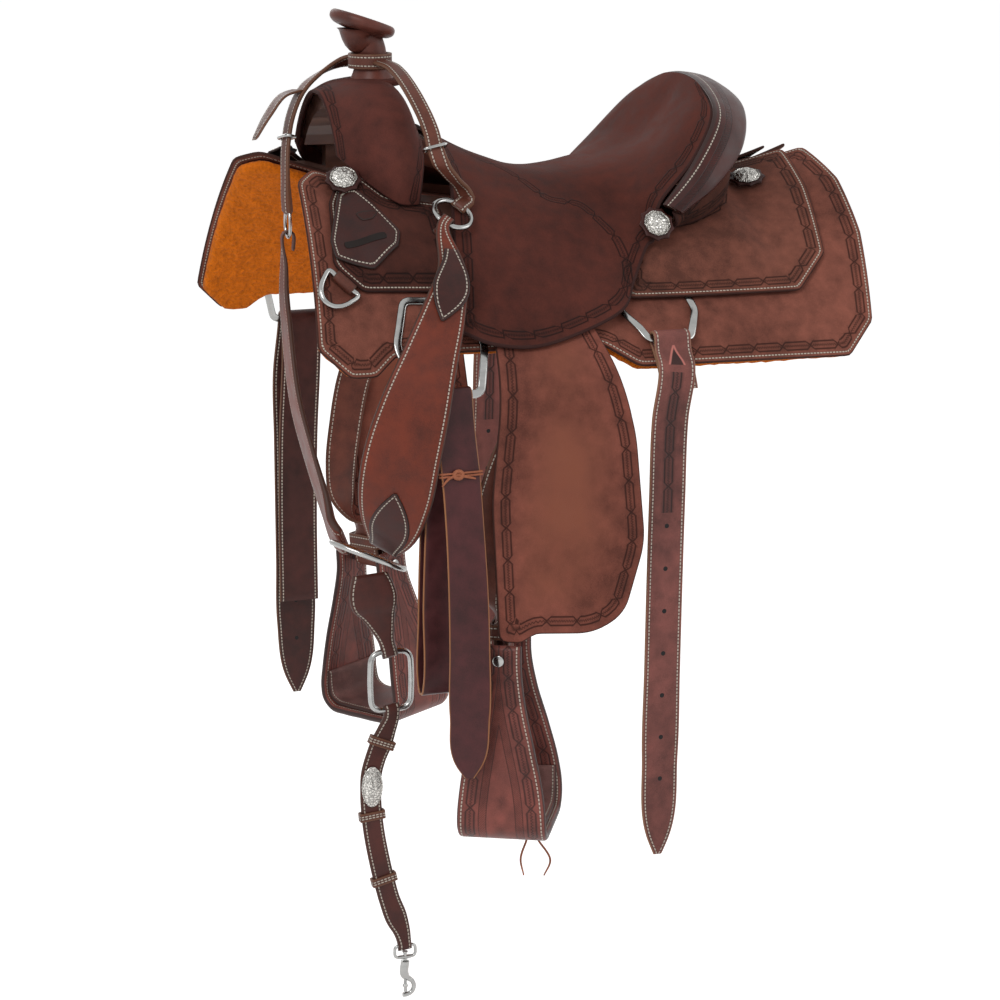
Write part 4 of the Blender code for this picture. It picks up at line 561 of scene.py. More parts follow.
def strap(path, across, width, thick, step=0.004, crown=0.0):
    """A flat strap along the path: at each even step an oblong section with half round sides.

    Across is its width direction; crown swells its middle, as a share of the thickness.
    """
    path = np.asarray(path, float)
    across = unit(np.broadcast_to(np.asarray(across, float), path.shape))
    width = np.broadcast_to(width, len(path))[:, None]
    thick = np.broadcast_to(thick, len(path))[:, None]
    values, walked = evened(np.hstack([path, across, width, thick]), step)
    path, across = values[:, :3], unit(values[:, 3:6])
    run = unit(np.gradient(path, axis=0))
    across = unit(across - run * np.sum(across * run, axis=1, keepdims=True))
    face = np.cross(run, across)
    half = values[:, 6:7] / 2.0
    deep = np.minimum(values[:, 7:8] / 2.0, half * 0.9)
    inner = np.linspace(1.0, -1.0, 9)
    turn = np.radians(np.linspace(90.0, -90.0, 7))[1:-1]
    side = (half - deep) * inner
    nose = half - deep + deep * np.cos(turn)
    v = np.hstack([side, -nose, side[:, ::-1], nose])
    swell = 1.0 + crown * (1.0 - inner**2)
    high = np.hstack([deep * swell, deep * np.sin(turn), -deep * swell, -deep * np.sin(turn)])
    # The ends are drawn in over half the thickness
    last = walked[-1] - walked
    near_end = np.minimum(np.minimum(walked, last)[:, None] / deep, 1.0)
    high = high * np.sqrt(np.maximum(1.0 - (1.0 - near_end)**2, 0.09))
    rings = path[:, None] + across[:, None] * v[..., None] + face[:, None] * high[..., None]
    s = np.broadcast_to(walked[:, None], v.shape)
    return tube(rings, np.stack([s, half - np.abs(v)], axis=-1), np.stack([s, v], axis=-1))


def wire(path, radius, facing, closed=True, sides=14, step=0.0022):
    """A round rod along a path; facing is the normal of the plane that the path lies in."""
    path = np.asarray(path, float)
    facing = unit(np.broadcast_to(np.asarray(facing, float), path.shape))
    radius = np.broadcast_to(radius, len(path))[:, None]
    values, walked = evened(np.hstack([path, facing, radius]), step, closed)
    if not closed:
        # The radius runs straight from control to control, so that steps stay sharp
        at = lengths_along(path)
        values[:, 6] = np.interp(walked * at[-1] / walked[-1], at, radius[:, 0])
    path = values[:, :3]
    facing = unit(values[:, 3:6])
    run = np.roll(path, -1, axis=0) - np.roll(path, 1, axis=0) if closed else np.gradient(path, axis=0)
    run = unit(run)
    side = unit(np.cross(run, facing))
    facing = np.cross(side, run)
    turn = 2.0 * np.pi * np.arange(sides) / sides
    ring = side[:, None] * np.cos(turn)[None, :, None] + facing[:, None] * np.sin(turn)[None, :, None]
    rings = path[:, None] + values[:, 6][:, None, None] * ring
    s = np.broadcast_to(walked[:, None], rings.shape[:2])
    uv = np.stack([s, np.broadcast_to(turn * 0.003, s.shape)], axis=-1)
    return tube(rings, uv, uv, closed)


def turned(profile, centre, axis, sides=40):
    """A turned piece: the profile holds (radius, height) along the axis and starts and ends at radius 0."""
    axis = unit(np.array(axis, float))
    side = unit(np.cross(axis, (0.31, 0.17, 0.93) if abs(axis[2]) < 0.9 else (1.0, 0.0, 0.0)))
    other = np.cross(axis, side)
    angle = 2.0 * np.pi * np.arange(sides) / sides
    spoke = side * np.cos(angle)[:, None] + other * np.sin(angle)[:, None]
    profile = np.asarray(profile, float)
    middle = profile[1:-1]
    radii, heights = middle.T[:, :, None, None]
    rings = np.asarray(centre, float) + axis * heights + spoke * radii
    walked = lengths_along(middle)
    uv = np.stack(np.broadcast_arrays(angle[None, :] * 0.01, walked[:, None]), axis=-1)
    shape = tube(rings, uv, uv)
    shape.points[-2] = np.asarray(centre) + axis * profile[0, 1]
    shape.points[-1] = np.asarray(centre) + axis * profile[-1, 1]
    return shape


def smooth_profile(points, count=40):
    """A finer profile through the given ones, by the chord length curve."""
    points = np.asarray(points, float)
    held = np.hstack([points, np.zeros((len(points), 1))])
    return traced(held, np.linspace(0.0, 1.0, count))[:, :2]


def to_edge(points, ring):
    """For flat points, the distance to the nearest side of a closed ring and the length along it there."""
    ahead = np.roll(ring, -1, axis=0)
    side = ahead - ring
    length = np.maximum(np.linalg.norm(side, axis=1), 1e-9)
    start = np.concatenate([[0.0], np.cumsum(length)[:-1]])
    away = points[:, None] - ring[None]
    t = np.clip(np.einsum("ijk,jk->ij", away, side) / length**2, 0.0, 1.0)
    gap = np.linalg.norm(away - t[..., None] * side, axis=2)
    nearest = gap.argmin(axis=1)
    rows = np.arange(len(points))
    return gap[rows, nearest], start[nearest] + t[rows, nearest] * length[nearest]


def within(points, ring):
    """True for flat points inside a closed ring, by counting the sides that a ray crosses."""
    ahead = np.roll(ring, -1, axis=0)
    x, y = points[:, :1], points[:, 1:]
    crosses = (ring[:, 1] > y) != (ahead[:, 1] > y)
    rise = np.where(ahead[:, 1] == ring[:, 1], 1e-12, ahead[:, 1] - ring[:, 1])
    at = ring[:, 0] + (y - ring[:, 1]) * (ahead[:, 0] - ring[:, 0]) / rise
    return (np.sum(crosses & (x < at), axis=1) % 2) == 1


def evened_ring(outline, step):
    """A closed flat outline at even steps along its sides."""
    closed = np.vstack([outline, outline[:1]])
    walked = lengths_along(closed)
    wanted = np.linspace(0.0, walked[-1], max(int(walked[-1] / step), 12), endpoint=False)
    return np.stack([np.interp(wanted, walked, closed[:, k]) for k in (0, 1)], axis=1)


def hide(outline, surface, low, high, step=0.0075, swell=None):
    """A leather cut to a flat outline and laid on surface(y, up, lift), with round edges.

    Its half thickness at a point is h * sqrt(1 - (1 - d/h)^2) for distance d below h from the edge.
    The flat points are the edge, four rings just inside it and a lattice; swell adds to the top lift.
    """
    half = (high - low) / 2.0
    edge = evened_ring(np.asarray(outline, float), min(step, 0.006))
    rings = [edge] + [inset(edge, half * share) for share in (0.12, 0.42, 0.9, 1.6)]
    marks = [np.arange(*span, step) for span in zip(edge.min(axis=0), edge.max(axis=0))]
    lattice = np.stack(np.meshgrid(*marks), axis=-1).reshape(-1, 2)
    lattice = lattice[within(lattice, edge)]
    lattice = lattice[to_edge(lattice, edge)[0] > half * 1.6 + step * 0.4]
    flat = np.vstack(rings + [lattice])
    count = len(edge)
    sides = [(i, (i + 1) % count) for i in range(count)]
    verts, _, triangles, *_ = delaunay_2d_cdt([Vector(p) for p in flat], sides, [], 1, 1e-7)
    flat = np.array([tuple(v) for v in verts])
    triangles = np.array([t for t in triangles])
    away, walked = to_edge(flat, edge)
    rim = away < half * 0.01
    rise = half * np.sqrt(np.clip(1.0 - (1.0 - np.clip(away / half, 0.0, 1.0))**2, 0.0, 1.0))
    mid = (low + high) / 2.0
    extra = 0.0 if swell is None else swell(flat[:, 0], flat[:, 1], away)
    top = surface(flat[:, 0], flat[:, 1], mid + rise + extra)
    back = surface(flat[:, 0], flat[:, 1], mid - rise)
    inner = np.flatnonzero(~rim)
    lower = np.arange(len(flat))
    lower[inner] = len(flat) + np.arange(len(inner))
    points = np.vstack([top, back[inner]])
    under = lower[triangles][:, ::-1]
    kept = ~np.all(rim[triangles], axis=1)
    faces = [triangles[kept], under[kept]]
    uv = np.stack([walked, away], axis=1)
    return Shape(points, faces, np.vstack([uv, uv[inner]]), np.vstack([flat, flat[inner]]))


def shell(outer, inner, edge, flat):
    """A closed leather between two grids of one shape, with a round rim of three more rows."""
    rows, columns = outer.shape[:2]
    index = np.arange(rows * columns).reshape(rows, columns)
    quads = np.stack([index[:-1, :-1], index[1:, :-1], index[1:, 1:], index[:-1, 1:]], axis=-1).reshape(-1, 4)
    border = np.concatenate([index[0, :-1], index[:-1, -1], index[-1, :0:-1], index[:0:-1, 0]])
    count = rows * columns
    top, low = outer.reshape(-1, 3), inner.reshape(-1, 3)
    middle = (top[border] + low[border]) / 2.0
    centre = np.roll(middle, 1, axis=0) - np.roll(middle, -1, axis=0)
    out = unit(np.cross(centre, top[border] - low[border]))
    reach = np.linalg.norm(top[border] - low[border], axis=1, keepdims=True) / 2.0
    neighbour = np.concatenate([index[1, :-1], index[:-1, -2], index[-2, :0:-1], index[:0:-1, 1]])
    out = out * np.sign(np.sum(out * (top[border] - top[neighbour]), axis=1, keepdims=True))
    rims = []
    for angle in (50.0, 0.0, -50.0):
        turn = np.radians(angle)
        normal = (top[border] - low[border]) / 2.0
        rims.append(middle + normal * np.sin(turn) + out * reach * np.cos(turn))
    points = np.vstack([top, low] + rims)
    number = len(border)
    chain = [border] + [2 * count + k * number + np.arange(number) for k in range(3)] + [border + count]
    faces = [quads, quads[:, ::-1] + count]
    for a, b in zip(chain[:-1], chain[1:]):
        faces.append(np.stack([np.roll(a, -1), a, b, np.roll(b, -1)], axis=-1))
    edge = edge.reshape(-1, 2)
    flat = flat.reshape(-1, 2)
    rim_uv = edge[border] * (1.0, 0.0)
    return Shape(points, faces, np.vstack([edge, edge] + [rim_uv] * 3),
                 np.vstack([flat, flat] + [flat[border]] * 3))


def grid_lengths(points):
    """For a grid, the metres from each of its borders: row 0, the last row, column 0 and the last."""
    down = np.linalg.norm(np.diff(points, axis=0), axis=2)
    along_rows = np.concatenate([np.zeros((1, points.shape[1])), np.cumsum(down, axis=0)])
    over = np.linalg.norm(np.diff(points, axis=1), axis=2)
    along_columns = np.concatenate([np.zeros((points.shape[0], 1)), np.cumsum(over, axis=1)], axis=1)
    return (along_rows, along_rows[-1:] - along_rows, along_columns, along_columns[:, -1:] - along_columns)


def border_uv(points):
    """Edge values of a grid: in from the nearest border, and along the rows or columns beside it."""
    first, last, left, right = grid_lengths(points)
    ends = np.minimum(first, last)
    sides = np.minimum(left, right)
    return np.stack([np.where(ends < sides, left, first), np.minimum(ends, sides)], axis=-1)


def fine(count_low, count_high, count):
    """Even parameters with closer ones beside both ends."""
    ease = np.linspace(0.0, 1.0, count)
    return count_low + (count_high - count_low) * (0.75 * ease + 0.25 * smoothstep(ease))


# Finishes


def join(tree, source, target):
    """Links a node's output, or writes a number or a colour, into a socket."""
    source = source.socket if isinstance(source, Value) else source
    if isinstance(source, bpy.types.NodeSocket):
        tree.links.new(source, target)
    else:
        target.default_value = (*source, 1.0) if target.type == "RGBA" else source


def fed(tree, kind, *sources, **settings):
    """A new node with its settings, whose sockets take the sources in their order."""
    made = tree.nodes.new(kind)
    for setting, value in settings.items():
        setattr(made, setting, value)
    for source, socket in zip(sources, made.inputs):
        join(tree, source, socket)
    return made


class Value:
    """An output of a node in a finish; arithmetic on it adds Math nodes."""

    def __init__(self, finish, socket):
        self.finish = finish
        self.socket = socket

    def __add__(self, other):
        return self.finish.math("ADD", self, other)

    def __sub__(self, other):
        return self.finish.math("SUBTRACT", self, other)

    def __rsub__(self, other):
        return self.finish.math("SUBTRACT", other, self)

    def __mul__(self, other):
        return self.finish.math("MULTIPLY", self, other)

    def __truediv__(self, other):
        return self.finish.math("DIVIDE", self, other)

    def __gt__(self, other):
        return self.finish.math("GREATER_THAN", self, other)

    def __lt__(self, other):
        return self.finish.math("LESS_THAN", self, other)

    def __abs__(self):
        return self.finish.math("ABSOLUTE", self)


class Finish:
    """One material on the Principled shader, whose colour and relief are laid down step by step."""

    def __init__(self, name, **uniform):
        self.material = bpy.data.materials.new(name)
        self.material.use_nodes = True
        self.tree = self.material.node_tree
        self.shader = self.tree.nodes["Principled BSDF"]
        self.colour = None
        self.height = None
        for socket, value in uniform.items():
            self.shader.inputs[socket.replace("_", " ")].default_value = value

    def value(self, output, kind, *sources, **settings):
        """The named or numbered output of a new node."""
        return Value(self, fed(self.tree, kind, *sources, **settings).outputs[output])

    def math(self, operation, *values, clamp=False):
        """A Math node on one to three values or numbers."""
        return self.value(0, "ShaderNodeMath", *values, operation=operation, use_clamp=clamp)

    def held(self, value, gain):
        """The value times the gain, held between 0 and 1."""
        return self.math("MULTIPLY", value, gain, clamp=True)

    def uv(self, name):
        """The two values of a UV map."""
        layer = self.value(0, "ShaderNodeUVMap", uv_map=name)
        return tuple(self.value(k, "ShaderNodeSeparateXYZ", layer) for k in (0, 1))

    def place(self):
        """Object coordinates."""
        return self.value("Object", "ShaderNodeTexCoord")

    def noise(self, scale, detail, stretch=None):
        """Noise on Object coordinates, from 0 to 1, with its pattern drawn out where stretch is given."""
        at = self.place()
        if stretch:
            at = self.value(0, "ShaderNodeMapping", at, (0, 0, 0), (0, 0, 0), stretch)
        return self.value("Fac", "ShaderNodeTexNoise", at, 0.0, scale, detail)

    def spread(self, value, low, high):
        """The value stretched so that low gives 0 and high gives 1, held between."""
        return self.value(0, "ShaderNodeMapRange", value, low, high, 0.0, 1.0, clamp=True)

    def mix(self, share, first, second):
        """The second colour laid over the first by the share."""
        made = fed(self.tree, "ShaderNodeMix", share, data_type="RGBA")
        join(self.tree, first, made.inputs[6])
        join(self.tree, second, made.inputs[7])
        return Value(self, made.outputs[2])

    def stain(self, share, colour):
        """Lays a colour over the finish by the share."""
        self.colour = self.mix(share, self.colour, colour)

    def tool(self, marks, share, colour):
        """Stains the marks and presses them in."""
        self.stain(marks * share, colour)
        self.height = self.height - marks

    def line(self, value, half):
        """One where the value is zero, falling to zero at the half width."""
        return self.math("SUBTRACT", 1.0, abs(value) / half, clamp=True)

    def wave(self, value, pitch):
        """A triangle wave: 0 at whole pitches and 1 midway."""
        return 1.0 - abs(self.math("FRACT", value / pitch) * 2.0 - 1.0)

    def thread(self, s, y, work):
        """Stitches along y = 0, broken at each pitch of the seam."""
        across = self.math("POWER", self.line(y, work.thread_width / 1.4), 0.6)
        return across * self.spread(self.wave(s, work.stitch_pitch), 0.16, 0.46)

    def barbed(self, s, y, work):
        """Barbed wire along y = 0: two lines that cross at each knot, and a wavy line between the knots."""
        u = self.wave(s, work.border_pitch)
        outer = self.held(self.line(abs(y) - self.held(u, 4.0) * work.border_half, 0.0015), 1.35)
        sway = self.math("SINE", s * 2100.0) * 0.0009
        centre = self.held(self.line(y - sway, 0.0013), 1.5) * 0.75
        barb = self.line(abs(y) - (u + 0.05) * 0.016, 0.0016)
        knot = self.held(self.line(u, 0.42), 2.0) * barb
        return self.math("MAXIMUM", self.math("MAXIMUM", outer, centre), knot)

    def rope(self, s, y, half):
        """A rope along y = 0: slanting dashes between two fine lines."""
        slant = self.line(self.wave(s + y, 0.0052) - 0.5, 0.20)
        return self.math("MAXIMUM", slant * (abs(y) < half), self.line(abs(y) - half, 0.0008))

    def finished(self, depth, roughness=None):
        """Joins the colour, the relief of the given depth and any roughness to the shader."""
        relief = fed(self.tree, "ShaderNodeBump")
        for socket, source in (("Strength", 1.0), ("Distance", depth), ("Height", self.height)):
            join(self.tree, source, relief.inputs[socket])
        join(self.tree, self.colour, self.shader.inputs["Base Color"])
        join(self.tree, relief.outputs[0], self.shader.inputs["Normal"])
        if roughness is not None:
            join(self.tree, roughness, self.shader.inputs["Roughness"])
        return self.material


def leather(name, skin, rim=None, gloss=0.86, nap=0.6, seam=None, border=None, rope=None, centre=None,
            line=False, strip=None, holes=None, rim_width=0.0016, coat=0.0, patches=7.0, light=1.34,
            dark=0.50):
    """A leather: patches, mottle and speckle in its hide's tones, then its tooling, seam, holes and cut edge.

    The border, rope and seam follow the edge, each at its distance in; True is the distance in the settings.
    The line, the strip and the holes follow the values of the flat map.
    """
    hides = bpy.context.scene.saddle_colours
    work = bpy.context.scene.saddle_work
    seam = work.stitch_inset if seam is True else seam
    border = work.border_inset if border is True else border
    skin = tuple(getattr(hides, skin)) if isinstance(skin, str) else skin
    pale = tuple(min(c * light, 1.0) for c in skin)
    deep = tuple(c * dark * 0.16 for c in skin)
    f = Finish(name, Specular_IOR_Level=0.16 if gloss > 0.7 else 0.24, Coat_Weight=coat, Coat_Roughness=0.30)
    s, d = f.uv("edge")
    length, v = f.uv("flat")
    speck, mottle, patch = f.noise(1100.0, 2.0), f.noise(60.0, 4.0), f.noise(patches, 3.0)
    tone = f.spread(patch * 0.42 + mottle * 0.34 + speck * 0.24, 0.38, 0.62)
    f.colour = f.mix(tone, tuple(c * dark for c in skin), pale)
    f.height = (speck * 0.7 + mottle * 0.5) * nap
    if centre:
        f.stain(f.spread(d, 0.018, 0.075) * f.spread(patch, 0.30, 0.55), tuple(getattr(hides, centre)))
    if border:
        f.stain(f.line(d - border, work.border_half * 1.9) * 0.20, deep)
        f.tool(f.barbed(s, d - border, work), 0.80, deep)
    if line:
        f.tool(f.barbed(length, v, work), 0.80, deep)
    if strip:
        # The tooled strip above the holes, and over it a triangle laced round its sides
        start, stop = strip
        here = (length > start) * (length < stop)
        f.stain(f.held(f.line(v, 0.0090), 2.5) * here * 0.45, deep)
        f.tool(f.barbed(length, v, work) * here, 0.90, deep)
        t = (stop + 0.034 - length) / 0.026
        used = (t > 0.0) * (t < 1.0)
        side = abs(v) - t * 0.0090
        lace = f.held(f.line(side, 0.0018), 1.6) * used
        f.stain((side < 0.0) * used * 0.85, deep)
        f.stain(lace, tuple(c * 2.0 for c in pale))
        f.height = f.height + lace
    if rope:
        at, half = rope
        f.tool(f.rope(s, d - at, half), 0.80, deep)
    if seam:
        channel = f.line(d - seam, work.thread_width * 1.3)
        thread = f.thread(s, d - seam, work)
        f.stain(channel * 0.55, deep)
        f.stain(thread, tuple(work.thread))
        f.height = f.height - channel * 0.5 + thread * 1.2
    if holes:
        first, pitch, count = holes
        t = (length - first) / pitch
        off = (t - f.math("ROUND", t)) * pitch
        hole = (f.math("SQRT", off * off + v * v) < 0.0027) * (t > -0.5) * (t < count - 0.5)
        # The holes are not cut: each is a near-black dot of painted shade, also pressed in.
        f.stain(hole, (0.004, 0.003, 0.003))
        f.height = f.height - hole * 3.0
    if rim:
        f.stain(1.0 - f.spread(d, rim_width * 0.6, rim_width * 1.3), rim)
    return f.finished(0.0005, f.spread(mottle, 0.35, 0.70) * 0.14 + (gloss - 0.07))


def fleece_finish(name, light):
    """Wool: curled tufts from two sizes of noise, coloured by their relief, with painted shade darkening the
    hollows.
    """
    f = Finish(name, Roughness=0.95, Specular_IOR_Level=0.05, Sheen_Weight=0.05, Sheen_Roughness=0.6)
    f.height = f.noise(230.0, 4.0) * 0.8 + f.noise(70.0, 3.0) * 0.6
    # Painted shade: the colour follows the relief, darkest in the hollows between the tufts and full at their
    # tips.
    f.colour = f.mix(f.spread(f.height, 0.48, 0.90), tuple(c * 0.62 for c in light), light)
    return f.finished(0.0045)


def metal_finish(name, colour, roughness, engraved=False):
    """Polished metal with faint scratches; engraving adds darkened scrolls in its low places."""
    f = Finish(name, Metallic=1.0)
    tone = f.spread(f.noise(38.0, 5.0, (1.0, 1.0, 4.0)), 0.30, 0.72)
    f.colour = f.mix(tone, tuple(c * 0.80 for c in colour), colour)
    f.height = f.noise(420.0, 2.0) * 0.12
    if engraved:
        cell = f.value("Distance", "ShaderNodeTexVoronoi", f.place(), 0.0, 330.0, feature="DISTANCE_TO_EDGE")
        f.tool(1.0 - f.spread(cell, 0.02, 0.16), 0.75, tuple(c * 0.16 for c in colour))
    return f.finished(0.0003, tone * 0.10 + roughness)


def rawhide_finish(name):
    """The tree's rawhide, stained dark brown and streaked along the bars."""
    f = Finish(name, Coat_Weight=0.3)
    f.height = f.noise(26.0, 5.0, (3.0, 0.5, 3.0))
    f.colour = f.mix(f.spread(f.height, 0.35, 0.7), (0.050, 0.020, 0.014), (0.105, 0.046, 0.030))
    return f.finished(0.0008, f.spread(f.height, -1.2, 2.2))


LEATHERS = {
    "skirt_leather": dict(skin="skirt", rim=(0.050, 0.020, 0.015), seam=True, border=True),
    "jockey_leather": dict(skin="jockey", rim=(0.045, 0.018, 0.014), seam=True, border=True),
    "front_jockey_leather": dict(skin="front_jockey", rim=(0.030, 0.012, 0.010), seam=True, border=True),
    "seat_leather_finish": dict(skin="seat", rim=(0.035, 0.013, 0.011), gloss=0.84, border=True, line=True),
    "fork_leather": dict(skin="fork", rim=(0.035, 0.013, 0.011), gloss=0.84, border=0.011),
    "cantle_leather": dict(skin="cantle", rim=(0.035, 0.013, 0.011), gloss=0.84, border=0.013),
    "fender_leather": dict(skin="fender_edge", rim=(0.045, 0.018, 0.014),
                           border=True, centre="fender_centre"),
    "keeper_leather": dict(skin="keeper", rim=(0.020, 0.010, 0.008), gloss=0.52,
                           nap=0.3, seam=True, coat=0.0675),
    "roll_leather": dict(skin="roll", rim=(0.030, 0.012, 0.010), gloss=0.42, nap=0.25, seam=0.0062,
                         rope=(0.0185, 0.0040), coat=0.1125),
    "collar_leather": dict(skin="collar", rim=(0.060, 0.028, 0.020), gloss=0.55,
                           nap=0.3, seam=0.0052, coat=0.054),
    "strap_leather": dict(skin="strap", rim=(0.13, 0.055, 0.030), gloss=0.50,
                          nap=0.3, seam=0.0036, coat=0.0675),
    "plain_leather": dict(skin="strap", rim=(0.070, 0.028, 0.018), gloss=0.55, nap=0.35, coat=0.045),
    "horn_leather": dict(skin="horn", gloss=0.50, nap=0.3, coat=0.0675, patches=20.0),
    "stirrup_leather_finish": dict(skin="stirrup_leather", rim=(0.10, 0.045, 0.028), gloss=0.60, nap=0.35,
                                   seam=0.0040, coat=0.036),
    "stirrup_cover": dict(skin="stirrup", rim=(0.035, 0.014, 0.012), gloss=0.48, nap=0.35, seam=0.0050,
                          border=0.0150, rope=(0.0290, 0.0042), coat=0.09, patches=16.0),
    "latigo_leather": dict(skin="latigo", rim=(0.30, 0.12, 0.045), rim_width=0.0013, gloss=0.42, nap=0.25,
                           coat=0.09),
    "billet_leather": dict(skin="billet", rim=(0.26, 0.13, 0.075), rim_width=0.0013, gloss=0.55, nap=0.35,
                           seam=0.0040, strip=(0.402, 0.562), holes=(0.091, 0.0493, 7), coat=0.036),
    "off_billet_leather": dict(skin="off_billet", rim=(0.13, 0.060, 0.032), rim_width=0.0013, gloss=0.46,
                               nap=0.3, seam=0.0042, holes=(0.072, 0.0500, 5), coat=0.0675),
    "tie_down_leather": dict(skin="tie_down", rim=(0.060, 0.024, 0.016), gloss=0.50, nap=0.3, seam=0.0036,
                             coat=0.054),
    "rosette_leather": dict(skin="keeper", rim=(0.020, 0.009, 0.007), gloss=0.5, nap=0.35),
    "slot_shadow": dict(skin=(0.0085, 0.0045, 0.0035), gloss=0.7, nap=0.3, light=1.41, dark=0.59),
    "tread_leather": dict(skin="tread", rim=(0.040, 0.018, 0.015), gloss=0.62, nap=0.4, seam=0.0040),
    "collar_tip_leather": dict(skin="keeper", rim=(0.020, 0.009, 0.007), gloss=0.46, nap=0.3, seam=0.0040,
                               coat=0.0675, light=1.5, dark=0.6),
    "thong_leather": dict(skin="thong", gloss=0.7, nap=0.4),
}


def finish(name):
    """The named finish, made the first time that a piece asks for it."""
    work = bpy.context.scene.saddle_work
    if name in bpy.data.materials:
        return bpy.data.materials[name]
    if name in LEATHERS:
        return leather(name, **LEATHERS[name])
    if name == "fleece_pile":
        return fleece_finish(name, tuple(bpy.context.scene.saddle_colours.fleece))
    if name == "chrome":
        return metal_finish(name, tuple(work.steel), 0.14)
    if name == "engraved_silver":
        return metal_finish(name, tuple(work.silver), 0.22, True)
    return rawhide_finish(name)


# The pieces


def build_skirts():
    """Both skirts on their fleece, whose underside is raised in tufts."""
    outline = rounded(SKIRT, 0.020, 7)
    place_both("skirt", hide(outline, on_flank, 0.0, SKIRT_THICK), finish("skirt_leather"))
    wool = inset(evened_ring(outline, 0.006), FLEECE_INSET)
    fleece = hide(wool, on_flank, -FLEECE_THICK, -FLEECE_GAP, 0.0065)
    place_both("fleece", fleece.moved(tufted), finish("fleece_pile"))


def tufted(points):
    """Wool relief: products of sines of the place, pushed out of the pile's lower face and edges."""
    x, y, z = points.T
    wool = np.sin(x * 410 + 3 * np.sin(y * 160)) * np.sin(y * 370 + 2 * np.sin(z * 190))
    wool = wool * np.sin(z * 330 + x * 90)
    wool = wool + 0.6 * np.sin(x * 150 + y * 130) * np.sin(y * 170 - z * 140)
    down = np.stack([-np.sign(x) * 0.55, 0.0 * y, -0.83 + 0.0 * z], axis=1)
    return points + down * (0.0011 * wool)[:, None]


def build_jockeys():
    """Front and rear jockeys, and the keeper on each front jockey with its badge and its slot's painted
    shade.
    """
    low = JOCKEY_LIFT
    rear = hide(rounded(REAR_JOCKEY, 0.020, 7), on_bars, low, low + JOCKEY_THICK)
    place_both("rear_jockey", rear, finish("jockey_leather"))
    low = FRONT_JOCKEY_LIFT
    front = hide(rounded(FRONT_JOCKEY, 0.020, 7), on_bars, low, low + JOCKEY_THICK)
    place_both("front_jockey", front, finish("front_jockey_leather"))
    low = FRONT_JOCKEY_LIFT + JOCKEY_THICK + 0.0014
    lift = low + STRAP_THICK * 0.8
    keeper = hide(rounded(KEEPER, 0.006, 7), on_bars, low, lift, 0.005)
    place_both("latigo_keeper", keeper, finish("keeper_leather"))
    body = BODY_OF["latigo_keeper_near"]
    start, stop = KEEPER_SLOT
    half = KEEPER_SLOT_HALF
    rim = rounded([(start[0], start[1] - half), (stop[0], stop[1] - half), (stop[0], stop[1] + half),
                   (start[0], start[1] + half)], 0.004, 6)
    # The slot is not cut: a thin near-black sheet laid over it is painted shade.
    slot = hide(rim, on_bars, lift + 0.0001, lift + 0.0007, 0.004)
    badge = hide(rounded(KEEPER_BADGE, 0.004, 5), on_bars, lift + 0.0001, lift + 0.0008, 0.004)
    for side in ("near", "off"):
        place_extra("keeper_slot_" + side, slot, finish("slot_shadow"), body)
        place_extra("keeper_badge_" + side, badge, finish("rosette_leather"), body)
        slot, badge = slot.mirrored(), badge.mirrored()


# The slot of the keeper, where its shade is painted, from its front end to its rear one, and the badge above
# it
KEEPER_SLOT = ((-0.2535, 0.1475), (-0.2035, 0.1545))
KEEPER_SLOT_HALF = 0.0042
KEEPER_BADGE = [(-0.233, 0.189), (-0.203, 0.187), (-0.214, 0.176), (-0.226, 0.176)]
# The tooled line over a side of the seat, from its front to its side edge, as row and column of the seat
SEAT_LINE = ((11.80, 0.00), (10.20, 0.28), (8.75, 0.60), (7.95, 0.77), (7.50, 1.05), (7.15, 1.42),
             (6.50, 1.52), (5.90, 1.62), (5.70, 2.02), (5.65, 2.38), (5.80, 2.73), (6.10, 2.90), (6.50, 3.20))


def seat_edge(points):
    """The seat's edge values: in from its side edges and front, along each, so that the seams follow them."""
    first, last, left, right = grid_lengths(points)
    sides = np.minimum(left, right)
    return np.stack([np.where(last < sides, left, first), np.minimum(last, sides)], axis=-1)


def seat_line(rows, columns, top):
    """For each point of the seat: the length along its tooled side line and the distance from it.

    The distance is below zero behind the line, where a ray along the rows crosses it an odd number of times.
    """
    line = through(np.array(SEAT_LINE), fine(0.0, len(SEAT_LINE) - 1.0, 160))
    r = np.interp(line[:, 0], rows, np.arange(len(rows)))
    c = np.interp(line[:, 1], columns, np.arange(len(columns)))
    i = np.minimum(r.astype(int), len(rows) - 2)
    j = np.minimum(c.astype(int), len(columns) - 2)
    u, v = (r - i)[:, None], (c - j)[:, None]
    points = (top[i, j] * (1 - u) * (1 - v) + top[i + 1, j] * u * (1 - v) + top[i, j + 1] * (1 - u) * v
              + top[i + 1, j + 1] * u * v)
    walked = lengths_along(points)
    there = top.copy()
    there[..., 0] = np.abs(there[..., 0]) * np.sign(points[80, 0])
    gaps = np.linalg.norm(there[:, :, None] - points, axis=3)
    nearest = np.argmin(gaps, axis=2)
    row = rows[:, None, None]
    column = np.abs(columns)[None, :, None]
    a, b = line[:-1], line[1:]
    spans = (a[:, 1] > column) != (b[:, 1] > column)
    rise = np.where(np.abs(b[:, 1] - a[:, 1]) < 1e-9, 1e-9, b[:, 1] - a[:, 1])
    met = a[:, 0] + (column - a[:, 1]) / rise * (b[:, 0] - a[:, 0])
    behind = np.sum(spans & (met > row), axis=2) % 2 == 1
    gap = np.min(gaps, axis=2)
    return np.stack([walked[nearest], np.where(behind, -gap, gap)], axis=-1)


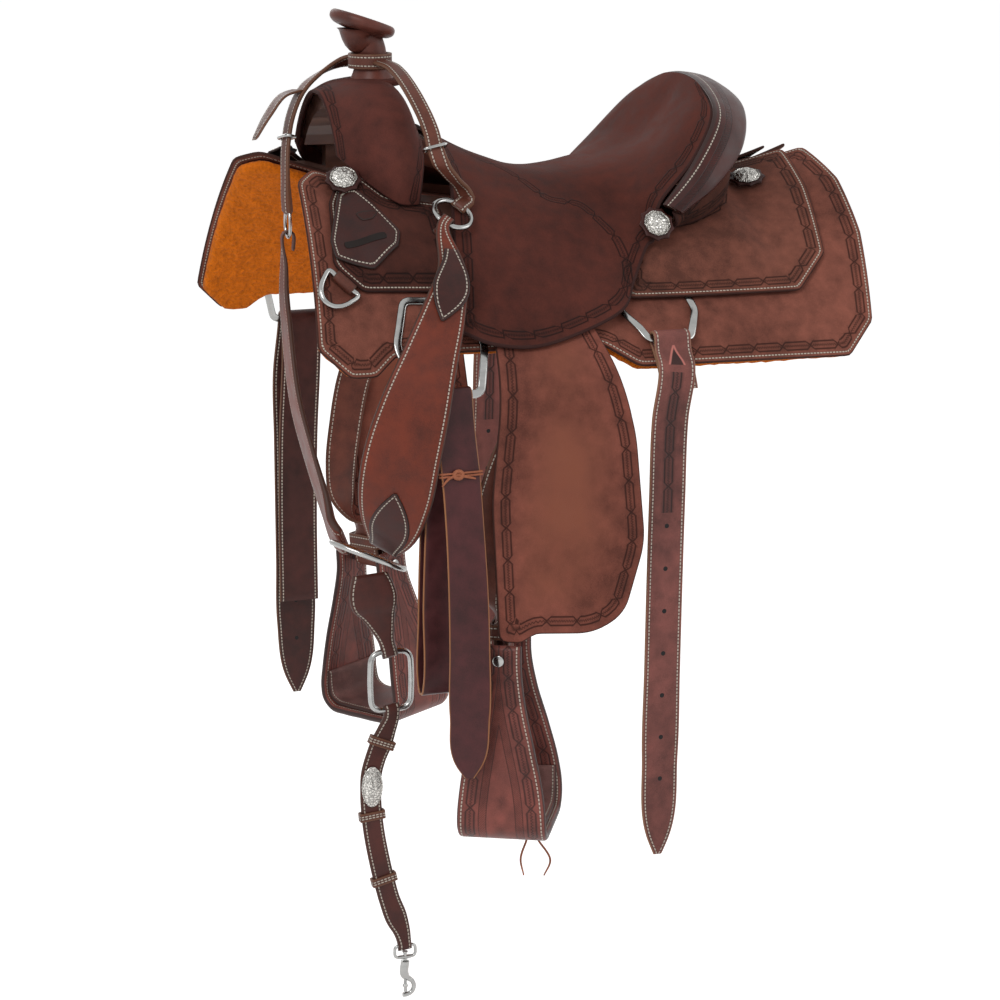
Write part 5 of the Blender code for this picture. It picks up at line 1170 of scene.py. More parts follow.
def build_seat():
    """The seat leather with its side jockeys, and the ground seat below it."""
    rows = fine(0.0, 11.0, 110)
    columns = fine(-3.0, 3.0, 121)
    under = seat_grid(rows, columns)
    normal = grid_normals(under)
    if normal[55, 60, 2] < 0:
        normal = -normal
    top = under + normal * SEAT_THICK
    flat = seat_line(rows, columns, top)
    place("seat_leather", shell(top, under, seat_edge(top), flat), finish("seat_leather_finish"))
    middle = seat_grid(np.linspace(2.6, 10.7, 60), np.linspace(-1.1, 1.1, 40))
    down = grid_normals(middle)
    if down[30, 20, 2] > 0:
        down = -down
    low = middle + down * 0.0082
    ground = shell(middle + down * 0.0032, low, border_uv(low), low[..., :2])
    place("ground_seat", ground, finish("plain_leather"))


def cantle_curves(count):
    """Along the cantle from its off end to its near end: inner edge, the roll's outer edge and its foot."""
    net = seat_net()
    inner = np.array([net[0, 0], net[0, 3], net[1, 3], net[2, 3], net[3, 3]])
    inner[4] += (0.002, 0.002, -0.002)
    outer = np.array([(0, 0.274, 0.128), (0.072, 0.278, 0.108), (0.130, 0.250, 0.070), (0.160, 0.206, 0.032),
                      (0.175, 0.156, 0.004)])
    foot = np.array([on_bars(y, up, JOCKEY_LIFT + JOCKEY_THICK + 0.0048)
                     for y, up in ((0.262, 0.324), (0.262, 0.262), (0.240, 0.214), (0.200, 0.182),
                                   (0.156, 0.168))])
    curves = []
    for half in (inner, outer, foot):
        whole = np.concatenate([(half * (-1, 1, 1))[:0:-1], half])
        whole[4, 0] = 0.0
        curves.append(along(whole, count))
    return curves


def build_cantle():
    """The rolled binding, a closed section carried round the cantle, and the leather behind it."""
    count = 181
    inner, outer, foot = cantle_curves(count)
    run = unit(np.gradient(inner, axis=0))
    across = unit(outer - inner)
    width = np.linalg.norm(outer - inner, axis=1, keepdims=True)
    face = unit(np.cross(run, across))
    if face[count // 2, 2] < 0:
        face = -face
    start = inner + across * 0.0008 + face * 0.0006
    section = [start + face * 0.0040, start + across * width * 0.45 + face * 0.0085,
               outer - across * 0.010 + face * 0.0075, outer - across * 0.0025 + face * 0.0045,
               outer - across * 0.0005 - face * 0.0010, outer - across * 0.0040 - face * 0.0060,
               outer - across * 0.0120 - face * 0.0070, start + across * width * 0.40 - face * 0.0010,
               start - face * 0.0002]
    section = np.stack(section, axis=1)
    closed = np.concatenate([section[:, -2:], section, section[:, :3]], axis=1)
    wanted = 2.0 + np.linspace(0.0, 9.0, 54, endpoint=False)
    rings = through(closed.transpose(1, 0, 2), wanted).transpose(1, 0, 2)
    walked = lengths_along(inner)
    over = np.sum((rings - start[:, None]) * across[:, None], axis=2)
    below = np.sum((rings - start[:, None]) * face[:, None], axis=2) < 0.001
    s = np.broadcast_to(walked[:, None], over.shape)
    d = np.where(below, 0.0, np.maximum(over, 0.0))
    roll = tube(rings, np.stack([s, d], axis=-1), np.stack([s, over], axis=-1))
    place("cantle_roll", roll, finish("roll_leather"))
    top = start + across * width * 0.52 - face * 0.0084
    steps = np.linspace(0.0, 1.0, 36)[:, None, None]
    back = top * (1 - steps) + foot * steps
    normal = grid_normals(back)
    if normal[18, count // 2, 1] < 0:
        normal = -normal
    back = back + normal * np.sin(np.pi * steps) * 0.006
    place("cantle_back", shell(back, back - normal * COVER_THICK, border_uv(back), back[..., ::2]),
          finish("cantle_leather"))


def build_fork():
    """The leather cover of the fork, and a leather washer round the horn's foot."""
    turns = np.linspace(0.0, np.pi, 150)
    sweeps = fine(0.0, 1.0, 60)
    cover = fork_grid(turns, sweeps)
    inner = fork_grid(turns, sweeps, COVER_THICK)
    first, _, left, right = grid_lengths(cover)
    uv = np.stack([first, np.minimum(left, right)], axis=-1)
    place("fork_cover", shell(cover, inner, uv, cover[..., :2]), finish("fork_leather"))
    collar = np.array([(0.0, 0.0), (0.0345, 0.0), (0.0350, 0.0022), (0.0300, 0.0040), (0.0262, 0.0042),
                       (0.0, 0.0042)])
    foot = np.array([0.0, HORN_Y + 0.001, FORK_TOP - 0.0035])
    place_extra("horn_washer", turned(smooth_profile(collar), foot, (0.0, 0.0, 1.0)), finish("fork_leather"),
                BODY_OF["fork_cover"])


def build_horn():
    """The horn: a neck carried up its curved axis with swelling rings, and a cap turned from a profile."""
    axis = horn_axis()
    top = np.array([0.0, HORN_Y - 0.010, HORN_CAP_HEIGHT])
    radius = np.array([HORN_FOOT_RADIUS, 0.0215, HORN_NECK_RADIUS, HORN_NECK_RADIUS, 0.0175, 0.0205, 0.0270])
    head = top - axis * 0.0160 + (0.0, 0.0030, 0.0)
    foot = np.array([0.0, HORN_Y + 0.001, FORK_TOP - 0.0024])
    lean = np.array([0.0, 0.0, 0.0005, 0.0020, 0.0055])
    share = np.array([0.0, 0.207, 0.465, 0.704, 0.883])
    neck = foot + np.stack([0.0 * share, -lean, share * (head[2] - foot[2])], axis=1)
    middle = np.vstack([neck, [head, top - axis * 0.0070]])
    stem = wire(middle, radius, (1.0, 0.0, 0.0), False, 40, 0.0015)
    r = HORN_CAP_RADIUS
    cap = [(0.0, -0.0100), (0.62 * r, -0.0098), (0.88 * r, -0.0070), (0.985 * r, -0.0030), (r, 0.0),
           (0.985 * r, 0.0032), (0.93 * r, 0.0054), (0.86 * r, 0.0060), (0.80 * r, 0.0052),
           (0.72 * r, 0.0056), (0.0, 0.0062)]
    cap_shape = turned(smooth_profile(cap, 70), top, axis, 72)
    place("horn", joined_shapes(cap_shape, stem), finish("horn_leather"))


def build_conchos():
    """Three conchos a side: a beaded silver dome with petals on a scalloped leather rosette."""
    frames = {"front_concho": wall_frame(*FRONT_CONCHO), "seat_concho": seat_frame(*SEAT_CONCHO),
              "rear_concho": wall_frame(*REAR_CONCHO)}
    angle = np.linspace(0.0, 2.0 * np.pi, 180, endpoint=False)
    lobe = np.abs(np.cos(angle * CONCHO_LOBES / 2.0))
    petal = np.abs(np.sin(angle * CONCHO_LOBES / 2.0))
    bead = np.abs(np.sin(angle * 18.0))
    edge = ROSETTE_RADIUS - 0.0026 * lobe
    rosette_rows = [(edge * 0.985, 0.0), (edge, 0.0006), (edge, 0.0018), (edge * 0.97, ROSETTE_THICK),
                    (edge * 0.80, ROSETTE_THICK), (edge * 0.5, ROSETTE_THICK + 0.0002)]
    rim = CONCHO_RADIUS - 0.0008 * lobe + 0.0004 * bead
    base = ROSETTE_THICK + 0.0001
    dome_rows = [(rim * 0.98, base), (rim, base + 0.0008), (rim * 0.975, base + 0.0016 + 0.0006 * bead),
                 (rim * 0.92, base + 0.0022 + 0.0008 * bead), (rim * 0.86, base + 0.0016),
                 (rim * 0.80, base + 0.0030 + 0.0003 * petal), (rim * 0.62, base + 0.0048 + 0.0009 * petal),
                 (rim * 0.40, base + 0.0062 + 0.0007 * petal), (rim * 0.26, base + 0.0064),
                 (rim * 0.20, base + 0.0074), (rim * 0.09, base + 0.0079)]
    for name, (here, ahead, above, out) in frames.items():
        way = np.cos(angle)[:, None] * ahead + np.sin(angle)[:, None] * above

        def raised(rows):
            """A body of rings about the concho's centre, one for each radius and height."""
            rings = [here + way * radius[:, None] + out * (height + 0.0 * angle)[:, None]
                     for radius, height in rows]
            step = np.arange(len(rows))[:, None] * 0.001
            uv = np.stack(np.broadcast_arrays(angle[None] * 0.02, step), axis=-1)
            return tube(np.stack(rings), uv, uv)

        rosette = raised(rosette_rows)
        for side in ("_near", "_off"):
            place_extra(name + "_rosette" + side, rosette, finish("rosette_leather"), BODY_OF[name + side])
            rosette = rosette.mirrored()
        place_both(name, raised(dome_rows), finish("engraved_silver"))


def build_rigging():
    """The flat dees that carry the front and the rear cinch, each a rounded section round a flat ring."""
    for name, corners in (("front_rigging", FRONT_DEE), ("rear_rigging", REAR_DEE)):
        middle = evened_ring(rounded(corners, 0.020, 12), 0.0035)
        lift = dee_lift(middle[:, 1]) if name == "rear_rigging" else PLATE_LOW + PLATE_THICK / 2
        run = unit(np.roll(middle, -1, axis=0) - np.roll(middle, 1, axis=0))
        side = np.stack([run[:, 1], -run[:, 0]], axis=1)
        turn = 2.0 * np.pi * np.arange(16) / 16
        wide = np.sign(np.cos(turn)) * np.abs(np.cos(turn))**0.7
        high = np.sign(np.sin(turn)) * np.abs(np.sin(turn))**0.8
        rings = []
        for w, h in zip(wide, high):
            at = middle + side * w * PLATE_WIDTH / 2
            rings.append(flank(at[:, 0], at[:, 1], lift + h * PLATE_THICK / 2))
        rings = np.stack(rings, axis=1)
        uv = rings[..., :2]
        place_both(name, tube(rings, uv, uv, True), finish("chrome"))


def eye(outer, inner):
    """A band between two closed outlines, each a pair of end rings, with narrow rounds on its four edges."""
    corners = [outer[0], outer[1], inner[1], inner[0]]
    rings, depth = [], []
    for i, corner in enumerate(corners):
        before = unit(corners[i - 1] - corner) * 0.0006
        after = unit(corners[(i + 1) % 4] - corner) * 0.0006
        rings += [corner + before, corner + (before + after) * 0.3, corner + after]
        depth += [0.0004, 0.0, 0.0004]
        if i in (0, 2):
            rings += [corner * (1 - t) + corners[i + 1 & 3] * t for t in (0.3, 0.5, 0.7)]
            width = np.linalg.norm(corners[(i + 1) % 4] - corner, axis=1).mean()
            depth += [0.3 * width, 0.5 * width, 0.3 * width]
    rings = np.stack(rings)
    closed = np.concatenate([rings[0], rings[0][:1]])
    walked = lengths_along(closed)[:-1]
    s = np.broadcast_to(walked, rings.shape[:2])
    d = np.broadcast_to(np.array(depth)[:, None], rings.shape[:2])
    return tube(rings, np.stack([s, d], axis=-1), np.stack([s, d], axis=-1), True)


def build_latigo_tie():
    """A tan thong tied round the latigo: two turns about its section, a knot and two tails."""
    centre = np.array([0.3027, -0.1615, -0.2480])
    run = unit(np.array([0.0100, 0.0010, -0.0600]))
    wide = unit(np.array([0.10, 0.995, 0.0]) - run * np.dot((0.10, 0.995, 0.0), run))
    face = np.cross(run, wide)
    ring = oblong(0.0236, 0.0029, 0.0024, 5) @ np.stack([wide, face])
    turns = [wire(centre + run * high + ring, 0.0012, run) for high in (-0.0016, 0.0016)]
    sign = 1.0 if face[0] > 0 else -1.0
    knot_at = centre + face * sign * 0.0052 - wide * 0.004
    knot = wire(oval(knot_at, wide, run, (0.0048, 0.0040), 16), 0.0022, face)
    tails = [wire([knot_at, knot_at + wide * 0.010 * k - face * sign * 0.0005 + run * 0.003,
                   knot_at + wide * 0.019 * k + run * 0.007 * drop], (0.0017, 0.0016, 0.0009), face, False)
             for k, drop in ((-1.0, 1.6), (1.0, 0.8))]
    place_extra("latigo_tie", joined_shapes(*turns, knot, *tails), finish("thong_leather"), "latigo")


def hung(bar, radius, front, behind, width, thick, across=(0.0, 1.0, 0.0)):
    """A strap folded over a bar: up along the front points, round the bar and down along those behind."""
    out = np.array([1.0, 0.0, 0.0])
    up = np.array([0.0, 0.0, 1.0])
    path = np.vstack([front, arc(bar, radius, out, up, -8.0, 188.0, 7), behind])
    return strap(path, across, width, thick)


def pointed(count, width, tip, ends=2):
    """A width at every path point, drawn in to the tip's width over the first points."""
    widths = np.full(count, width)
    widths[:ends] = np.linspace(tip, width, ends + 1)[:-1]
    return widths


def build_cinch_straps():
    """Latigo and billet at the front and the two rear billets, each folded over the bar of its dee."""
    bar = flank(*FRONT_DEE_BAR, PLATE_LOW + PLATE_THICK / 2)
    front = [(0.3480, -0.1690, -0.578), (0.3465, -0.1690, -0.566), (0.3410, -0.1660, -0.510),
             (0.3320, -0.1625, -0.440), (0.3230, -0.1605, -0.380), (0.3130, -0.1605, -0.310),
             (0.3030, -0.1615, -0.250), (0.2920, -0.1628, -0.205)]
    turn = arc((bar[0] - 0.0160, -0.1728, -0.496), 0.0080, (1.0, 0.0, 0.0), (0.0, 0.0, -1.0), 0.0, 180.0, 5)
    behind = np.vstack([[bar + (-0.0070, 0.0, -0.025), (bar[0] - 0.0075, -0.1668, -0.270),
                         (bar[0] - 0.0080, -0.1718, -0.400)], turn,
                        [(bar[0] - 0.0240, -0.1722, -0.420), (bar[0] - 0.0210, -0.1690, -0.300),
                         (bar[0] - 0.0180, -0.1650, -0.240)]])
    count = len(front) + 7 + len(behind)
    face = np.tile((0.0, 1.0, 0.0), (count, 1))
    face[:5] = (0.50, 0.87, 0.0), (0.50, 0.87, 0.0), (0.45, 0.89, 0.0), (0.32, 0.95, 0.0), (0.15, 0.99, 0.0)
    latigo = hung(bar, FRONT_WRAP, front, behind, pointed(count, LATIGO_WIDTH, 0.010), LATIGO_THICK, face)
    place("latigo", latigo, finish("latigo_leather"))

    x = bar[0] + FRONT_WRAP
    front = [(x, bar[1] - 0.008, z) for z in (-0.655, -0.633, -0.560, -0.480, -0.400, -0.320, -0.240)]
    behind = [bar + (-FRONT_WRAP, 0.0, -0.03), (bar[0] - FRONT_WRAP, bar[1] - 0.006, -0.320),
              (bar[0] - FRONT_WRAP, bar[1] - 0.008, -0.420), (bar[0] - FRONT_WRAP, bar[1] - 0.008, -0.530)]
    count = len(front) + 7 + len(behind)
    billet = hung(bar, FRONT_WRAP, front, behind, pointed(count, OFF_BILLET_WIDTH, 0.010), BILLET_THICK)
    place("off_billet", billet.mirrored(), finish("off_billet_leather"))

    bar = flank(*REAR_DEE_BAR, dee_lift(REAR_DEE_BAR[1]))
    hem = flank(REAR_DEE_BAR[0], -0.005, SKIRT_THICK + 0.0032)
    front = [(0.2860, 0.0840, -0.718), (0.2858, 0.0845, -0.698), (0.2850, 0.0860, -0.600),
             (0.2840, 0.0880, -0.500), (0.2830, 0.0900, -0.400), (0.2820, 0.0925, -0.300),
             (0.2810, 0.0955, -0.210), hem + (0.0080, -0.0015, 0.0), bar + (REAR_WRAP + 0.0020, 0.0, -0.012)]
    on_skirt = SKIRT_THICK + 2.5 * GAP + BILLET_THICK / 2
    low = flank(REAR_DEE_BAR[0], np.array([0.012, -0.008, -0.034]), on_skirt)
    count = len(front) + 7 + len(low)
    billet = hung(bar, REAR_WRAP, front, low, pointed(count, BILLET_WIDTH, 0.010), BILLET_THICK)
    place_both("rear_billet", billet, finish("billet_leather"))


def tab_frame():
    """The dee's bar on the collar tab: its centre, its direction, the way the dee hangs and the way out."""
    first, last = (np.array(p) for p in TAB_EDGE)
    along_edge = unit(last - first)
    away = np.array([along_edge[1], -along_edge[0]])
    middle = (first + last) / 2 + away * TAB_DEPTH
    height = PLATE_LOW + TAB_LEATHER + GAP + DEE_WIRE
    here, ahead, above, out = wall_frame(*middle, height, on_flank)
    bar = unit(ahead * along_edge[0] + above * along_edge[1])
    hang = unit(ahead * away[0] + above * away[1])
    return here, bar, unit(hang - bar * np.dot(hang, bar)), out


def build_collar_dees():
    """The dees at the front corners for the breast collar's straps, and the tabs that hold them."""
    here, bar, hang, out = tab_frame()
    inner = DEE_WIRE + GAP
    outer = inner + TAB_LEATHER
    turn = np.radians(np.linspace(-90.0, 90.0, 7))
    hole = [(inner * np.cos(a), inner * np.sin(a)) for a in turn]
    hole += [(inner * np.cos(a), inner * np.sin(a)) for a in np.radians([120.0, 150.0, 180.0, 210.0, 240.0])]
    skin = [(outer * np.cos(a), outer * np.sin(a)) for a in turn]
    skin += [(-0.003, 0.95 * outer), (-0.006, 0.62 * outer), (0.0014 - TAB_DEPTH, 0.05 * outer),
             (0.0014 - TAB_DEPTH, -outer), (-0.004, -outer)]
    rings = []
    for outline in (skin, hole):
        flat = np.array(outline)
        for end in (-TAB_WIDTH / 2, TAB_WIDTH / 2):
            rings.append(here + flat[:, :1] * hang + flat[:, 1:] * out + end * bar)
    place_both("collar_tab", eye(rings[:2], rings[2:]), finish("plain_leather"))
    bend = np.radians(np.linspace(0.0, 180.0, 11))
    bow = [(DEE_HALF * np.cos(a), DEE_REACH * np.sin(a)**0.9) for a in bend]
    flat = np.array(bow + [(-0.5 * DEE_HALF, 0.0), (0.5 * DEE_HALF, 0.0)])
    lean = unit(hang - out * 0.07)
    path = here + flat[:, :1] * bar + flat[:, 1:] * lean
    place_both("collar_dee", wire(path, DEE_WIRE, np.cross(bar, lean)), finish("chrome"))


def stirrup_axes():
    """The stirrup's directions: along its bolt and fore and aft through its opening."""
    turn = np.radians(STIRRUP_TURN)
    return np.array([np.cos(turn), -np.sin(turn), 0.0]), np.array([np.sin(turn), np.cos(turn), 0.0])


def swung_back(shape, degrees):
    """The near shape swung back about the fender's pivot, as the off side hangs, by the rotation formula."""
    here, *_, out = wall_frame(*FENDER_PIVOT, FENDER_LIFT, on_flank)
    angle = np.radians(degrees)

    def turn(points):
        arm = points - here
        return (here + arm * np.cos(angle) + np.cross(out, arm) * np.sin(angle)
                + out * (arm @ out)[:, None] * (1 - np.cos(angle)))

    return shape.moved(turn)


def let_down(points):
    """The off leather is buckled a hole lower: points low on it move down with the stirrup."""
    return points - (0, 0, OFF_DROP) * smoothstep((-0.200 - points[:, 2:]) / 0.160)


def off_side(shape, drop=True):
    """The near shape as it hangs on the off side: lower, swung back and mirrored."""
    return swung_back(shape.moved(let_down) if drop else shape, OFF_SWING).mirrored()


def build_fenders():
    """Fenders and the stirrup leathers behind them."""
    fender = hide(rounded(FENDER, 0.020, 8), on_flank, FENDER_LIFT, FENDER_LIFT + FENDER_THICK)
    place_swung("fender", fender, finish("fender_leather"), False)

    ups = np.array([0.056, 0.030, 0.004, -0.030, -0.070, -0.110, -0.150, -0.190])
    centres = np.array([-0.046, -0.050, -0.056, -0.066, -0.086, -0.105, -0.118, -0.128])
    sunk = np.array([0.0, 0.0, 0.0006, 0.0030, 0.0030, 0.0028, 0.0048, 0.0085])
    lying = flank(centres, ups, LEATHER_LIFT + LEATHER_THICK / 2 - sunk)
    ahead = stirrup_axes()[1]
    up = np.array([0.0, 0.0, 1.0])
    wrap = BOLT_RADIUS + GAP + LEATHER_THICK / 2
    before = BOLT_CENTRE - ahead * (wrap + 0.0016)
    after = BOLT_CENTRE + ahead * (wrap + 0.0004)
    falling = [(0.2850, -0.1300, -0.370), (0.2800, -0.1235, -0.398), before + up * 0.040, before + up * 0.018]
    round_bolt = arc(BOLT_CENTRE, wrap, -ahead, -up, -10.0, 190.0, 7)
    path = np.vstack([lying, falling, round_bolt, [after + up * 0.020, after + up * 0.036]])
    twist = [4.0, 10.0, 30.0, 72.0]
    turn = np.concatenate([np.zeros(6), twist, np.full(len(path) - 10, 90.0 + STIRRUP_TURN)])
    turn = np.radians(turn)
    across = np.stack([np.sin(turn), np.cos(turn), 0.0 * turn], axis=1)
    width = np.concatenate([[0.040, 0.040, 0.042], np.full(len(path) - 3, LEATHER_WIDTH)])
    leathers = strap(path, across, width, LEATHER_THICK)
    place_swung("stirrup_leather", leathers, finish("stirrup_leather_finish"))


def stirrup_band():
    """The stirrup's bent wood in its leather cover: from one leg's top round the tread to the other's."""
    along_bolt, ahead = stirrup_axes()
    half = [(STIRRUP_HALF_TOP, 0.016), (STIRRUP_HALF_TOP + 0.001, -0.010), (0.0450, -0.050), (0.0560, -0.100),
            (0.0630, -0.145), (0.0660, -0.170), (0.0640, -0.185), (0.0530, -0.1965), (0.0300, -STIRRUP_DROP)]
    flat = np.array(half + [(0.0, -STIRRUP_DROP)] + [(-a, z) for a, z in half[::-1]])
    depth = smoothstep(-flat[:, 1] / 0.185)
    width = 0.050 + 0.050 * depth
    path = BOLT_CENTRE + flat[:, :1] * along_bolt + flat[:, 1:] * (0, 0, 1) + (0.007 * depth)[:, None] * ahead
    return strap(path, ahead, width, STIRRUP_THICK)


def near_ring_frame():
    """Centre of the near collar ring, the way to the collar, the way along the wire there and the way out."""
    here, *_, out = wall_frame(-0.122, 0.170, 0.0362)
    down = np.array([0.60, -0.66, -0.456])
    down = unit(down - out * np.dot(down, out))
    return here, down, np.cross(out, down), out


def oval(centre, first, second, reach, count):
    """A closed oval round the centre with the two unit directions and half lengths."""
    angle = 2.0 * np.pi * np.arange(count)[:, None] / count
    return centre + reach[0] * np.cos(angle) * np.array(first) + reach[1] * np.sin(angle) * np.array(second)


def hub_frame():
    """The second direction of the hub ring and the normal of its plane."""
    view = np.array([0.910, -0.349, 0.225])
    second = unit(view - HUB_ALONG * np.dot(view, HUB_ALONG))
    return second, np.cross(HUB_ALONG, second)


def straight_ring(centre, half, corner, count):
    """An upright ring in the plane across the horse's side: an oval whose top and bottom run straight."""
    flat = oblong(*half, corner, count)
    return centre + np.stack([0.0 * flat[:, 0], flat[:, 0], flat[:, 1]], axis=1)


def place_swung(name, shape, leather_finish, drop=True):
    """The near piece, and the off one hanging a little further back."""
    place(name + "_near", shape, leather_finish)
    place(name + "_off", off_side(shape, drop), leather_finish)


def build_stirrups():
    """Stirrups, their tread pads, the bolts they swing on and the hobble straps above them."""
    along_bolt, ahead = stirrup_axes()
    up = np.array([0.0, 0.0, 1.0])
    reach = STIRRUP_HALF_TOP + STIRRUP_THICK / 2
    place_swung("stirrup", stirrup_band(), finish("stirrup_cover"))
    pad = np.array([(0.0590, -0.150), (0.0600, -0.170), (0.0575, -0.183), (0.0480, -0.1900),
                    (0.0280, -0.1922), (0.0, -0.1925)])
    pad = np.vstack([pad, (pad * (-1, 1))[-2::-1]])
    path = BOLT_CENTRE + pad[:, :1] * along_bolt + pad[:, 1:] * up + 0.007 * ahead
    low = BOLT_CENTRE + (0.0, 0.0, -STIRRUP_DROP - 0.0052) + 0.030 * ahead
    tails = [wire([low, low + (0.004 * k, 0.008 * k, -0.016), low + (0.010 * k, 0.020 * k, -0.040),
                   low + (0.006 * k, 0.014 * k, -0.058)], (0.0013, 0.0012, 0.0012, 0.0008), (1.0, 0.0, 0.0),
                  False) for k in (-0.5, 1.0)]
    knot = wire(oval(low, along_bolt, ahead, (0.0042, 0.0030), 16), 0.0019, up)
    place_extra("stirrup_thong", joined_shapes(knot, *tails), finish("thong_leather"), "stirrup_near")
    tread = strap(path, ahead, 0.088, 0.0056, 0.004, 0.25)
    place_extra("tread_pad_near", tread, finish("tread_leather"), "stirrup_near")
    place_extra("tread_pad_off", off_side(tread), finish("tread_leather"), "stirrup_off")
    head = 0.0062
    profile = [(0.0, 0.0), (head * 0.8, 0.0), (head, 0.0006), (head, 0.0026), (head * 0.95, 0.0028),
               (BOLT_RADIUS, 0.0028), (BOLT_RADIUS, 2 * reach + 0.0060), (head * 0.95, 2 * reach + 0.0060),
               (head, 2 * reach + 0.0064), (head, 2 * reach + 0.0082), (head * 0.8, 2 * reach + 0.0088),
               (0.0, 2 * reach + 0.0088)]
    start = BOLT_CENTRE - along_bolt * (reach + 0.0044)
    place_swung("stirrup_bolt", turned(profile, start, along_bolt), finish("chrome"))

    centre = BOLT_CENTRE + up * 0.0270 - ahead * 0.0006
    rings = []
    for wide, deep in ((LEATHER_WIDTH / 2 + 0.0036, 0.0127), (LEATHER_WIDTH / 2 + 0.0011, 0.0101)):
        outline = evened_ring(oblong(wide, deep, 0.004, 8), 0.002)
        outline = outline[np.linspace(0, len(outline), 60, endpoint=False).astype(int)]
        for level in (-0.0085, 0.0085):
            rings.append(centre + outline[:, :1] * along_bolt + outline[:, 1:] * ahead + up * level)
    place_swung("hobble", eye(rings[:2], rings[2:]), finish("strap_leather"))


def build_horn_straps():
    """The band round the horn and the two tug straps from it to the collar rings, with their buckles."""
    centre = np.array([0.0, HORN_Y - 0.0010, HORN_BAND_Z])
    up = np.array([0.0, 0.0, 1.0])
    rings = []
    for radius in (0.0251, 0.0221):
        for level in (-0.0085, 0.0085):
            rings.append(oval(centre + up * level, (1.0, 0.0, 0.0), (0.0, 1.0, 0.0), (radius, radius), 60))
    band = eye(rings[:2], rings[2:])

    ring, down, side, out = near_ring_frame()
    start = centre + (0.0235, 0.004, 0.0)
    path = along([start, (0.062, -0.150, 0.168), (0.108, -0.146, 0.146), (0.146, -0.140, 0.112),
                  (0.166, -0.134, 0.074), ring - down * (RING_RADIUS + 0.016) + out * 0.004,
                  ring - down * (RING_RADIUS - 0.0075)], 16)
    across = np.linspace((0.0, 1.0, 0.10), side, len(path))
    across = np.where((across @ np.array([0.0, 1.0, 0.0]))[:, None] < 0, -across, across)
    thick = np.concatenate([np.full(12, 0.0050), [0.0060, 0.0080, 0.0104, 0.0104]])
    near = strap(path, across, TUG_WIDTH, thick)
    near_frame = path[9], path[10] - path[8], across[9]
    wire_path = oval(ring, down, side, (RING_RADIUS, RING_RADIUS), 40)

    start = centre + (-0.0235, -0.002, 0.0)
    path = along([start, (-0.036, -0.183, 0.1690), (-0.037, -0.206, 0.1580), (-0.031, -0.230, 0.1410),
                  (-0.018, -0.249, 0.1120), (-0.007, -0.259, 0.0760), (0.0, -0.262, 0.0400),
                  OFF_RING + (0.0, 0.0, LINK_HALF[1] - 0.0070)], 16)
    across = np.linspace((0.55, -0.2, 0.80), (1.0, 0.10, 0.0), 7)
    across = np.vstack([across, np.tile((1.0, 0.10, 0.0), (len(path) - 7, 1))])
    thick = np.concatenate([np.full(13, 0.0050), [0.0060, 0.0090, 0.0090]])
    far = strap(path, across, TUG_WIDTH, thick)
    off_frame = path[10], path[11] - path[9], across[10]
    tail = strap([(-0.030, -0.2350, 0.1400), (-0.022, -0.2560, 0.1350), (-0.009, -0.2790, 0.1140),
                  (0.0, -0.2980, 0.0880)], (1.0, 0.10, 0.0), (TUG_WIDTH, TUG_WIDTH, TUG_WIDTH, 0.010), 0.0030)
    link = oval(OFF_RING, (1.0, 0.0, 0.0), (0.0, 0.0, 1.0), LINK_HALF, 40)
    place("horn_strap", joined_shapes(band, near, far, tail), finish("strap_leather"))
    place("collar_ring_near", wire(wire_path, RING_WIRE, out), finish("chrome"))
    place("collar_ring_off", wire(link, LINK_WIRE, (0.0, 1.0, 0.0)), finish("chrome"))

    outline = oblong(*BUCKLE_HALF, 0.003, 6)
    for name, (at, run, wide) in (("tug_buckle_near", near_frame), ("tug_buckle_off", off_frame)):
        run = unit(run)
        wide = unit(wide - run * np.dot(wide, run))
        buckle = at + outline[:, :1] * wide + outline[:, 1:] * np.cross(run, wide)
        place(name, wire(buckle, BUCKLE_WIRE, run), finish("chrome"))


